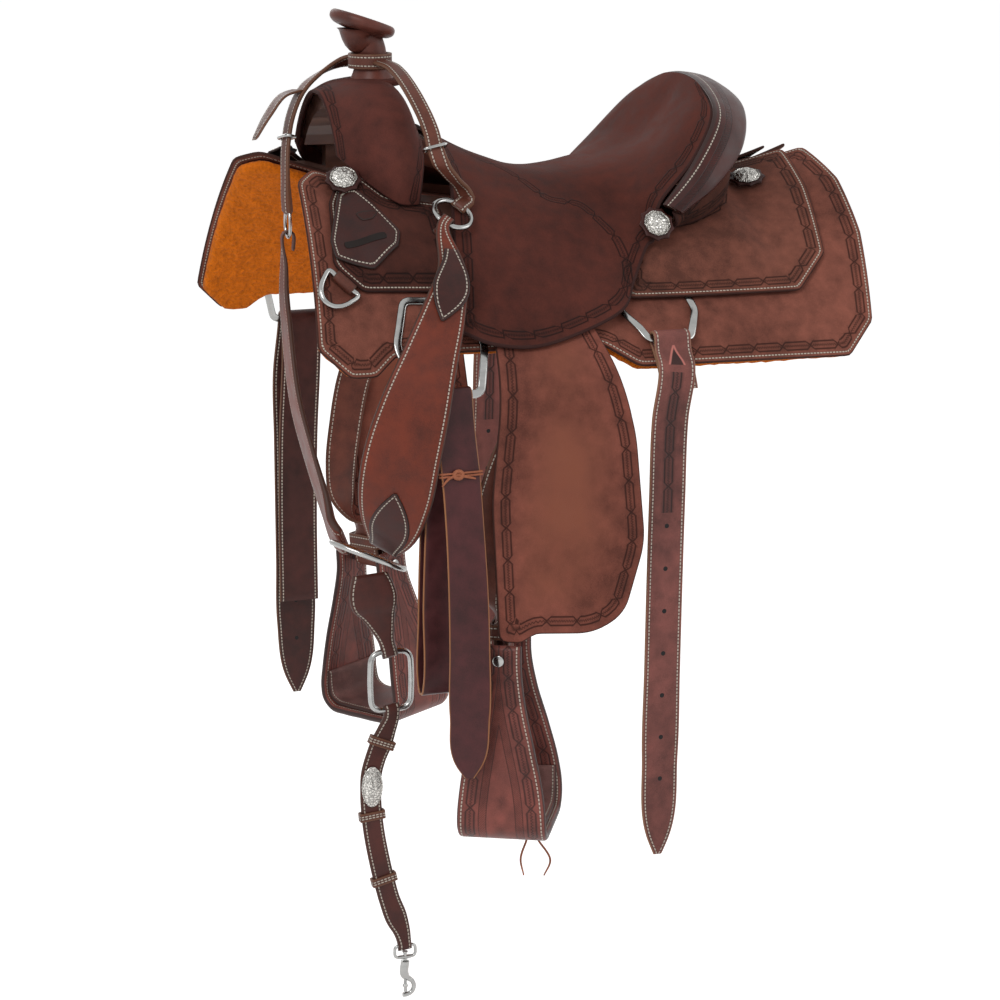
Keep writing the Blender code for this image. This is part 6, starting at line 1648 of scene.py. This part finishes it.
def build_collar():
    """The breast collar: a branch from each collar ring to the hub ring, and the tug below the hub."""
    ring, down, side, out = near_ring_frame()
    wire_at = ring + down * RING_RADIUS
    radius = COLLAR_LOOP + 0.0015
    end = [wire_at + down * 0.016 - out * radius * 0.75, wire_at + down * 0.008 - out * radius]
    turn = arc(wire_at, radius, -down, out, -82.0, 82.0, 9)
    body = [(0.246, -0.150, -0.038), (0.272, -0.170, -0.078), (0.290, -0.192, -0.122),
            (0.298, -0.211, -0.170), (0.293, -0.225, -0.225), (0.276, -0.228, -0.275),
            (0.246, -0.2245, -0.320), (0.218, -0.2215, -0.345)]
    path = np.vstack([end, turn, [wire_at + down * 0.010 + out * radius], body])
    normals = np.vstack([np.tile(out, (12, 1)), np.linspace(out, (0.86, -0.50, 0.10), len(body))])
    swell = [0.0040] + [COLLAR_THICK] * 4 + [0.0070, 0.0100, 0.0104]
    run = unit(np.gradient(path, axis=0))
    across = np.cross(normals, run)
    across[:12] = side * np.sign(np.dot(across[-1], side))
    spread = [0.036, 0.050, 0.062, 0.076, 0.084, 0.082, 0.062, 0.034]
    width = np.concatenate([np.full(12, COLLAR_LOOP_WIDTH), spread])
    thick = np.concatenate([np.full(12, 0.0028), swell])
    place("collar_near", strap(path, across, width, thick), finish("collar_leather"))
    last = len(path) - 1.0
    for name, span, widths in (
            ("collar_tip_low", (last - 2.1, last),
             (0.004, 0.022, 0.036, 0.044, 0.046, 0.043, 0.039, 0.036, 0.034)),
            ("collar_tip_high", (11.6, 13.2),
             (0.015, 0.024, 0.034, 0.040, 0.042, 0.038, 0.030, 0.018, 0.003))):
        at = np.linspace(*span, 9)
        raised = through(path, at) + unit(through(normals, at)) * (through(thick[:, None], at) / 2 + 0.0024)
        tip = strap(raised, through(across, at), np.array(widths), 0.0022)
        place_extra(name, tip, finish("collar_tip_leather"), "collar")

    low = OFF_RING - (0.0, 0.0, LINK_HALF[1])
    turn = arc(low, LINK_LOOP, (0.0, 0.0, 1.0), (0.0, -1.0, 0.0), -90.0, 90.0, 7)
    body = [(0.002, -0.266, -0.053), (0.004, -0.267, -0.085), (0.010, -0.266, -0.129),
            (0.034, -0.264, -0.211), (0.072, -0.258, -0.273), (0.108, -0.254, -0.315),
            (0.140, -0.254, -0.339), (0.172, -0.253, -0.346)]
    end = [low + (0.0, 0.80 * LINK_LOOP, -0.016), low + (0.0, 0.94 * LINK_LOOP, -0.007)]
    path = np.vstack([end, turn, [low + (0.0, -0.94 * LINK_LOOP, -0.010)], body])
    leaning = np.linspace((1.0, -0.05, 0.1), (0.80, -0.30, 0.60), len(body))
    across = np.vstack([np.tile((1.0, 0.0, 0.0), (10, 1)), leaning])
    spread = [0.024, 0.036, 0.052, 0.070, 0.080, 0.078, 0.056, 0.034]
    width = np.concatenate([np.full(10, 0.0090), spread])
    thick = np.concatenate([np.full(10, 0.0024), swell])
    place("collar_off", strap(path, across, width, thick), finish("collar_leather"))

    second, normal = hub_frame()
    hub = oval(HUB, HUB_ALONG, second, HUB_HALF, 60)
    place("hub_ring", wire(hub, TUG_RING_WIRE, normal), finish("chrome"))

    top = HUB + np.array([0.012, -0.002, -0.018])
    low = TUG_RING + (0.0, 0.0, TUG_RING_HALF[1] - TUG_END)
    path = along([top, top + (0.004, 0.003, -0.030), (0.206, -0.222, -0.430), low], 8)
    width = np.array([0.040, 0.050, 0.054, 0.050, 0.040, 0.030, TUG_LOOP_WIDTH, TUG_LOOP_WIDTH])
    thick = np.array([0.0104, 0.0090, 0.0060, 0.0052, 0.0052, 0.0070, 0.0116, 0.0116])
    place("hub_tug", strap(path, (0.10, 1.0, -0.10), width, thick), finish("tie_down_leather"))


def keeper_loop(centre, run, across, width, thick, length):
    """A narrow leather loop round a strap: a band between two rounded oblongs, square to the strap's run."""
    face = np.cross(run, across)
    rings = []
    for extra in (0.0026, 0.0004):
        wide, deep = width / 2 + extra, thick / 2 + extra
        outline = oblong(wide, deep, 0.0022, 8)
        for level in (-length / 2, length / 2):
            rings.append(centre + outline[:, :1] * across + outline[:, 1:] * face + run * level)
    return eye(rings[:2], rings[2:])


def build_tie_down():
    """The ring below the collar, the strap on it with its buckle and keepers, and the snap for the cinch."""
    ring = straight_ring(TUG_RING, TUG_RING_HALF, 0.014, 9)
    out = np.array([1.0, 0.0, 0.0])
    across = np.array([0.0, 1.0, 0.0])
    place("tug_ring", wire(ring, TUG_RING_WIRE, out), finish("chrome"))

    bar = TUG_RING - (0.0, 0.0, TUG_RING_HALF[1])
    path = along([bar + (0.0, 0.0, TUG_END), bar - (0.0, 0.0, 0.010), (0.200, -0.220, -0.575),
                  (0.200, -0.2325, -0.610), (0.200, -0.2325, -0.660), (0.200, -0.2250, -0.710),
                  (0.200, -0.2120, -0.765), (0.200, -0.1975, -0.805), SNAP_TOP - (0.0, 0.0, 0.0052)], 17)
    width = np.concatenate([np.full(3, TUG_LOOP_WIDTH), [0.022, 0.026], np.full(8, 0.0250),
                            [0.026, 0.020, 0.0170, 0.0170]])
    thick = np.concatenate([[0.0116, 0.0116, 0.0090, 0.0066], np.full(9, 0.0050),
                            [0.0054, 0.0070, 0.0086, 0.0086]])
    place("tie_down_strap", strap(path, across, width, thick), finish("tie_down_leather"))
    for number, at in enumerate((4, 8, 11)):
        run = unit(path[at + 1] - path[at - 1])
        wide = unit(across - run * np.dot(across, run))
        loop = keeper_loop(path[at], run, wide, width[at], thick[at], 0.0100)
        place_extra(f"tie_down_keeper_{number}", loop, finish("strap_leather"), "tie_down")

    angle = 2.0 * np.pi * np.arange(60) / 60
    middle = np.array([0.2000 + 0.0025 + GAP, -0.2330, -0.6250])
    plate = np.stack([0.0 * angle, 0.0125 * np.cos(angle), 0.0240 * np.sin(angle)], axis=1)
    rows = ((0.97, 0.0), (1.0, 0.0005), (1.0, 0.0014), (0.95, 0.0021), (0.90, 0.0017), (0.84, 0.0026),
            (0.60, 0.0037), (0.30, 0.0042), (0.08, 0.0043))
    rings = np.stack([middle + plate * share + out * high for share, high in rows])
    uv = np.stack(np.broadcast_arrays(angle[None] * 0.02, np.arange(len(rows))[:, None] * 0.001), axis=-1)
    place("tie_down_buckle", tube(rings, uv, uv), finish("engraved_silver"))

    eye_low = SNAP_TOP - (0.0, 0.0, 2 * SNAP_EYE_HALF[1])
    loop = straight_ring(SNAP_TOP - (0.0, 0.0, SNAP_EYE_HALF[1]), SNAP_EYE_HALF, 0.005, 8)
    near_low = np.exp(-((loop - eye_low) / 0.0050)**2).prod(axis=1)
    place("snap_eye", wire(loop, SNAP_WIRE + 0.0022 * near_low, out, True, 14, 0.0012), finish("chrome"))
    down = np.array([0.0, 0.0, -1.0])
    steps = [(0.0, -0.0068, 0.0032), (0.0, -0.0048, 0.0032), (0.0, -0.0047, SNAP_POST),
             (0.0, 0.0047, SNAP_POST), (0.0, 0.0050, SNAP_BARREL), (0.0, 0.0230, SNAP_BARREL),
             (0.0030, 0.0262, 0.0032), (0.0085, 0.0310, 0.0026), (0.0105, 0.0375, 0.0026),
             (0.0075, 0.0440, 0.0026), (0.0, 0.0465, 0.0028), (-0.0030, 0.0465, 0.0026)]
    flat = np.array(steps)
    path = eye_low + np.stack([0.0 * flat[:, 0], flat[:, 0], -flat[:, 1]], axis=1)
    place("snap_body", wire(path, flat[:, 2], out, False, 18, 0.0012), finish("chrome"))
    pin = [(0.0, 0.0180), (SNAP_PIN, 0.0180), (SNAP_PIN, 0.0330), (0.0026, 0.0342), (0.0030, 0.0348),
           (0.0030, 0.0362), (0.0026, 0.0368), (SNAP_PIN, 0.0380), (SNAP_PIN, 0.0424), (0.0014, 0.0428),
           (0.0, 0.0428)]
    place("snap_plunger", turned(pin, eye_low, down, 24), finish("chrome"))


# The stage

FLOOR_GLOW = 0.55


def floor_material():
    """A white floor that keeps the saddle's shadow: diffuse, with white added for camera and mirror rays."""
    made = bpy.data.materials.new("floor_white")
    made.use_nodes = True
    tree = made.node_tree
    tree.nodes.clear()
    rays = fed(tree, "ShaderNodeLightPath").outputs
    seen = fed(tree, "ShaderNodeMath", rays["Is Camera Ray"], rays["Is Glossy Ray"], operation="MAXIMUM")
    power = fed(tree, "ShaderNodeMath", seen.outputs[0], FLOOR_GLOW, operation="MULTIPLY")
    diffuse = fed(tree, "ShaderNodeBsdfDiffuse", (0.92, 0.92, 0.92))
    glow = fed(tree, "ShaderNodeEmission", (1.0, 1.0, 1.0), power.outputs[0])
    both = fed(tree, "ShaderNodeAddShader", diffuse.outputs[0], glow.outputs[0])
    fed(tree, "ShaderNodeOutputMaterial", both.outputs[0])
    return made


def studio_world(sky):
    """An even white light of strength sky, seen as plain white by camera, mirror and glass rays."""
    world = bpy.data.worlds.new("studio")
    world.use_nodes = True
    tree = world.node_tree
    rays = fed(tree, "ShaderNodeLightPath").outputs
    more = fed(tree, "ShaderNodeMath", rays["Is Glossy Ray"], rays["Is Transmission Ray"],
               operation="MAXIMUM")
    seen = fed(tree, "ShaderNodeMath", rays["Is Camera Ray"], more.outputs[0], operation="MAXIMUM")
    strength = fed(tree, "ShaderNodeMapRange", seen.outputs[0], 0.0, 1.0, sky, 1.0)
    back = tree.nodes["Background"]
    join(tree, (1.0, 1.0, 1.0), back.inputs["Color"])
    join(tree, strength.outputs[0], back.inputs["Strength"])
    return world


def build_stage():
    """The floor, the white world, three soft lights and the camera at the photograph's angle."""
    scene = bpy.context.scene
    stage = scene.saddle_stage
    z = stage.floor_height
    mesh = bpy.data.meshes.new("floor")
    mesh.from_pydata([(-30, -30, z), (30, -30, z), (30, 30, z), (-30, 30, z)], [], [(0, 1, 2, 3)])
    mesh.materials.append(floor_material())
    shown("floor", mesh)
    scene.world = studio_world(stage.sky)

    target = Vector((0.0, 0.0, -0.355))
    lights = (("key", (2.6, -2.2, 2.2), stage.key, 1.6), ("fill", (1.6, 3.0, 1.0), stage.fill, 2.0),
              ("back", (-3.0, -0.6, 1.6), stage.fill, 2.0))
    for name, at, watts, width in lights:
        lamp = bpy.data.lights.new(name, "AREA")
        lamp.energy = watts
        lamp.size = width
        item = shown(name, lamp)
        item.location = at
        item.rotation_euler = (target - item.location).to_track_quat("-Z", "Y").to_euler()

    az, el = stage.azimuth, stage.elevation
    way = Vector((np.sin(az) * np.cos(el), -np.cos(az) * np.cos(el), np.sin(el)))
    optics = bpy.data.cameras.new("camera")
    optics.lens = stage.lens
    optics.sensor_width = 36.0
    scene.camera = shown("camera", optics)
    scene.camera.location = target + way * stage.distance
    scene.camera.rotation_euler = (-way).to_track_quat("-Z", "Y").to_euler()
    scene.view_settings.view_transform = "Standard"


# Settings, operators and panel


def tint(name, description, default):
    """A colour setting."""
    return bpy.props.FloatVectorProperty(name=name, description=description, subtype="COLOR", size=3,
                                         min=0.0, max=1.0, default=default)


def size(name, description, default):
    """A length setting in metres."""
    return bpy.props.FloatProperty(name=name, description=description, default=default, min=0.0, precision=5,
                                   unit="LENGTH")


class SaddleColours(bpy.types.PropertyGroup):
    """Colours of the leathers and the fleece."""

    skirt: tint("Skirts", "Roughout of the skirts", (0.200, 0.067, 0.046))
    jockey: tint("Rear jockeys", "Roughout of the rear jockeys", (0.178, 0.062, 0.042))
    front_jockey: tint("Front jockeys", "Roughout of the front jockeys", (0.068, 0.021, 0.015))
    seat: tint("Seat", "Roughout of the seat and its side jockeys", (0.076, 0.020, 0.014))
    fork: tint("Fork", "Roughout over the fork", (0.083, 0.024, 0.018))
    cantle: tint("Cantle", "Leather behind the cantle", (0.072, 0.024, 0.016))
    fender_edge: tint("Fender edge", "Fender near its edges", (0.190, 0.060, 0.042))
    fender_centre: tint("Fender centre", "Fender in its rubbed centre", (0.225, 0.074, 0.045))
    keeper: tint("Keeper", "Dark smooth leather of the keepers and rosettes", (0.034, 0.006, 0.004))
    roll: tint("Cantle roll", "Smooth leather round the cantle", (0.040, 0.006, 0.004))
    collar: tint("Breast collar", "Smooth leather of the breast collar", (0.125, 0.022, 0.010))
    strap: tint("Straps", "Tug straps, hobbles and tabs", (0.098, 0.028, 0.017))
    horn: tint("Horn", "Leather of the horn", (0.110, 0.030, 0.020))
    stirrup_leather: tint("Stirrup leathers", "Leathers that hold the stirrups", (0.130, 0.040, 0.026))
    stirrup: tint("Stirrups", "Tooled cover of the stirrups", (0.185, 0.052, 0.040))
    tread: tint("Treads", "Padded leather of the treads", (0.200, 0.095, 0.085))
    latigo: tint("Latigo", "Oiled near latigo", (0.058, 0.013, 0.014))
    billet: tint("Rear billets", "Oiled rear billets", (0.175, 0.058, 0.048))
    off_billet: tint("Off billet", "Dark front billet of the off side", (0.050, 0.014, 0.011))
    tie_down: tint("Tie-down", "Straps below the breast collar", (0.062, 0.016, 0.012))
    thong: tint("Thongs", "Tan tie thongs", (0.330, 0.110, 0.055))
    fleece: tint("Fleece", "Wool below the skirts", (0.760, 0.180, 0.008))


class SaddleWork(bpy.types.PropertyGroup):
    """Sewing, tooling and metal."""

    thread: tint("Thread", "Waxed thread", (0.62, 0.55, 0.46))
    steel: tint("Steel", "Polished steel of the rings and dees", (0.40, 0.40, 0.39))
    silver: tint("Silver", "Engraved silver", (0.66, 0.64, 0.60))
    stitch_pitch: size("Stitch pitch", "Length of one stitch and its gap", 0.0042)
    stitch_inset: size("Stitch inset", "From a leather's edge to its seam", 0.0046)
    thread_width: size("Thread width", "Width of a stitch", 0.0013)
    border_inset: size("Border inset", "From a leather's edge to the middle of its tooled border", 0.0145)
    border_half: size("Border half width", "Half of the tooled border's width", 0.0048)
    border_pitch: size("Border pitch", "From knot to knot of the tooled border", 0.0360)


class SaddleStage(bpy.types.PropertyGroup):
    """Floor, light and camera."""

    floor_height: bpy.props.FloatProperty(name="Floor height",
                                          description="Height of the floor", default=-0.905,
                                          unit="LENGTH")
    sky: bpy.props.FloatProperty(name="Sky",
                                 description="Strength of the even light from all round", default=0.50,
                                 min=0.0)
    key: bpy.props.FloatProperty(name="Key", description="Power of the large light beside the camera",
                                 default=64.0, min=0.0, unit="POWER")
    fill: bpy.props.FloatProperty(name="Fill", description="Power of each light behind the saddle",
                                  default=26.0, min=0.0, unit="POWER")
    azimuth: bpy.props.FloatProperty(name="Azimuth",
                                     description="The camera's turn from the front to the near side",
                                     default=np.radians(69.0), subtype="ANGLE")
    elevation: bpy.props.FloatProperty(name="Elevation", description="The camera's angle above level",
                                       default=np.radians(13.0), subtype="ANGLE")
    distance: bpy.props.FloatProperty(name="Distance", description="From the camera to the saddle's middle",
                                      default=3.6, unit="LENGTH")
    lens: bpy.props.FloatProperty(name="Lens", description="Focal length", default=108.0, unit="CAMERA")


class SADDLE_OT_stage(bpy.types.Operator):
    """Makes the floor, the lights and the camera."""

    bl_idname = "saddle.stage"
    bl_label = "Stage"

    def execute(self, context):
        build_stage()
        return {"FINISHED"}


class SADDLE_OT_skirts(bpy.types.Operator):
    """Makes the skirts and their fleece."""

    bl_idname = "saddle.skirts"
    bl_label = "Skirts and fleece"

    def execute(self, context):
        build_skirts()
        return {"FINISHED"}


class SADDLE_OT_jockeys(bpy.types.Operator):
    """Makes the front and rear jockeys and the keepers."""

    bl_idname = "saddle.jockeys"
    bl_label = "Jockeys"

    def execute(self, context):
        build_jockeys()
        return {"FINISHED"}


class SADDLE_OT_seat(bpy.types.Operator):
    """Makes the seat leather, the ground seat and the cantle's roll and cover."""

    bl_idname = "saddle.seat"
    bl_label = "Seat and cantle"

    def execute(self, context):
        build_seat()
        build_cantle()
        return {"FINISHED"}


class SADDLE_OT_fork(bpy.types.Operator):
    """Makes the fork's cover and the horn, and gives the tree its rawhide."""

    bl_idname = "saddle.fork"
    bl_label = "Fork, horn and tree"

    def execute(self, context):
        build_fork()
        tree = frame["nodes"]["tree"].data
        tree.materials.clear()
        tree.materials.append(finish("rawhide"))
        build_horn()
        return {"FINISHED"}


class SADDLE_OT_conchos(bpy.types.Operator):
    """Makes the conchos on their rosettes."""

    bl_idname = "saddle.conchos"
    bl_label = "Conchos"

    def execute(self, context):
        build_conchos()
        return {"FINISHED"}


class SADDLE_OT_rigging(bpy.types.Operator):
    """Makes the rigging dees."""

    bl_idname = "saddle.rigging"
    bl_label = "Rigging"

    def execute(self, context):
        build_rigging()
        return {"FINISHED"}


class SADDLE_OT_cinch_straps(bpy.types.Operator):
    """Makes the latigo and the billets."""

    bl_idname = "saddle.cinch_straps"
    bl_label = "Latigo and billets"

    def execute(self, context):
        build_cinch_straps()
        build_latigo_tie()
        return {"FINISHED"}


class SADDLE_OT_collar_dees(bpy.types.Operator):
    """Makes the front corner dees and their tabs."""

    bl_idname = "saddle.collar_dees"
    bl_label = "Collar dees"

    def execute(self, context):
        build_collar_dees()
        return {"FINISHED"}


class SADDLE_OT_fenders(bpy.types.Operator):
    """Makes the fenders, the stirrup leathers, the stirrups, their bolts and the hobbles."""

    bl_idname = "saddle.fenders"
    bl_label = "Fenders and stirrups"

    def execute(self, context):
        build_fenders()
        build_stirrups()
        return {"FINISHED"}


class SADDLE_OT_horn_straps(bpy.types.Operator):
    """Makes the tug straps from the horn, their buckles and the collar rings."""

    bl_idname = "saddle.horn_straps"
    bl_label = "Tug straps"

    def execute(self, context):
        build_horn_straps()
        return {"FINISHED"}


class SADDLE_OT_collar(bpy.types.Operator):
    """Makes the breast collar and its hub ring."""

    bl_idname = "saddle.collar"
    bl_label = "Breast collar"

    def execute(self, context):
        build_collar()
        return {"FINISHED"}


class SADDLE_OT_tie_down(bpy.types.Operator):
    """Makes the strap below the breast collar with its ring, buckle and snap."""

    bl_idname = "saddle.tie_down"
    bl_label = "Tie-down and snap"

    def execute(self, context):
        build_tie_down()
        return {"FINISHED"}


OPERATORS = (SADDLE_OT_stage, SADDLE_OT_skirts, SADDLE_OT_jockeys, SADDLE_OT_seat, SADDLE_OT_fork,
             SADDLE_OT_conchos, SADDLE_OT_rigging, SADDLE_OT_cinch_straps, SADDLE_OT_collar_dees,
             SADDLE_OT_fenders, SADDLE_OT_horn_straps, SADDLE_OT_collar, SADDLE_OT_tie_down)


class SADDLE_PT_panel(bpy.types.Panel):
    """Lists the saddle's pieces and settings."""

    bl_label = "Saddle"
    bl_idname = "SADDLE_PT_panel"
    bl_space_type = "VIEW_3D"
    bl_region_type = "UI"
    bl_category = "Saddle"

    def draw(self, context):
        for group in (context.scene.saddle_colours, context.scene.saddle_work, context.scene.saddle_stage):
            box = self.layout.box()
            for name in group.__annotations__:
                box.prop(group, name)
        for operator in OPERATORS:
            self.layout.operator(operator.bl_idname)


GROUPS = (("saddle_colours", SaddleColours), ("saddle_work", SaddleWork), ("saddle_stage", SaddleStage))


def register():
    """Registers the settings, the operators and the panel."""
    for name, group in GROUPS:
        bpy.utils.register_class(group)
        setattr(bpy.types.Scene, name, bpy.props.PointerProperty(type=group))
    for kind in (*OPERATORS, SADDLE_PT_panel):
        bpy.utils.register_class(kind)


def unregister():
    """Takes them out again."""
    for kind in (SADDLE_PT_panel, *reversed(OPERATORS)):
        bpy.utils.unregister_class(kind)
    for name, group in reversed(GROUPS):
        delattr(bpy.types.Scene, name)
        bpy.utils.unregister_class(group)


def main():
    """Builds the dressed saddle."""
    register()
    for operator in OPERATORS:
        area, call = operator.bl_idname.split(".")
        getattr(getattr(bpy.ops, area), call)()


if __name__ == "__main__":
    main()
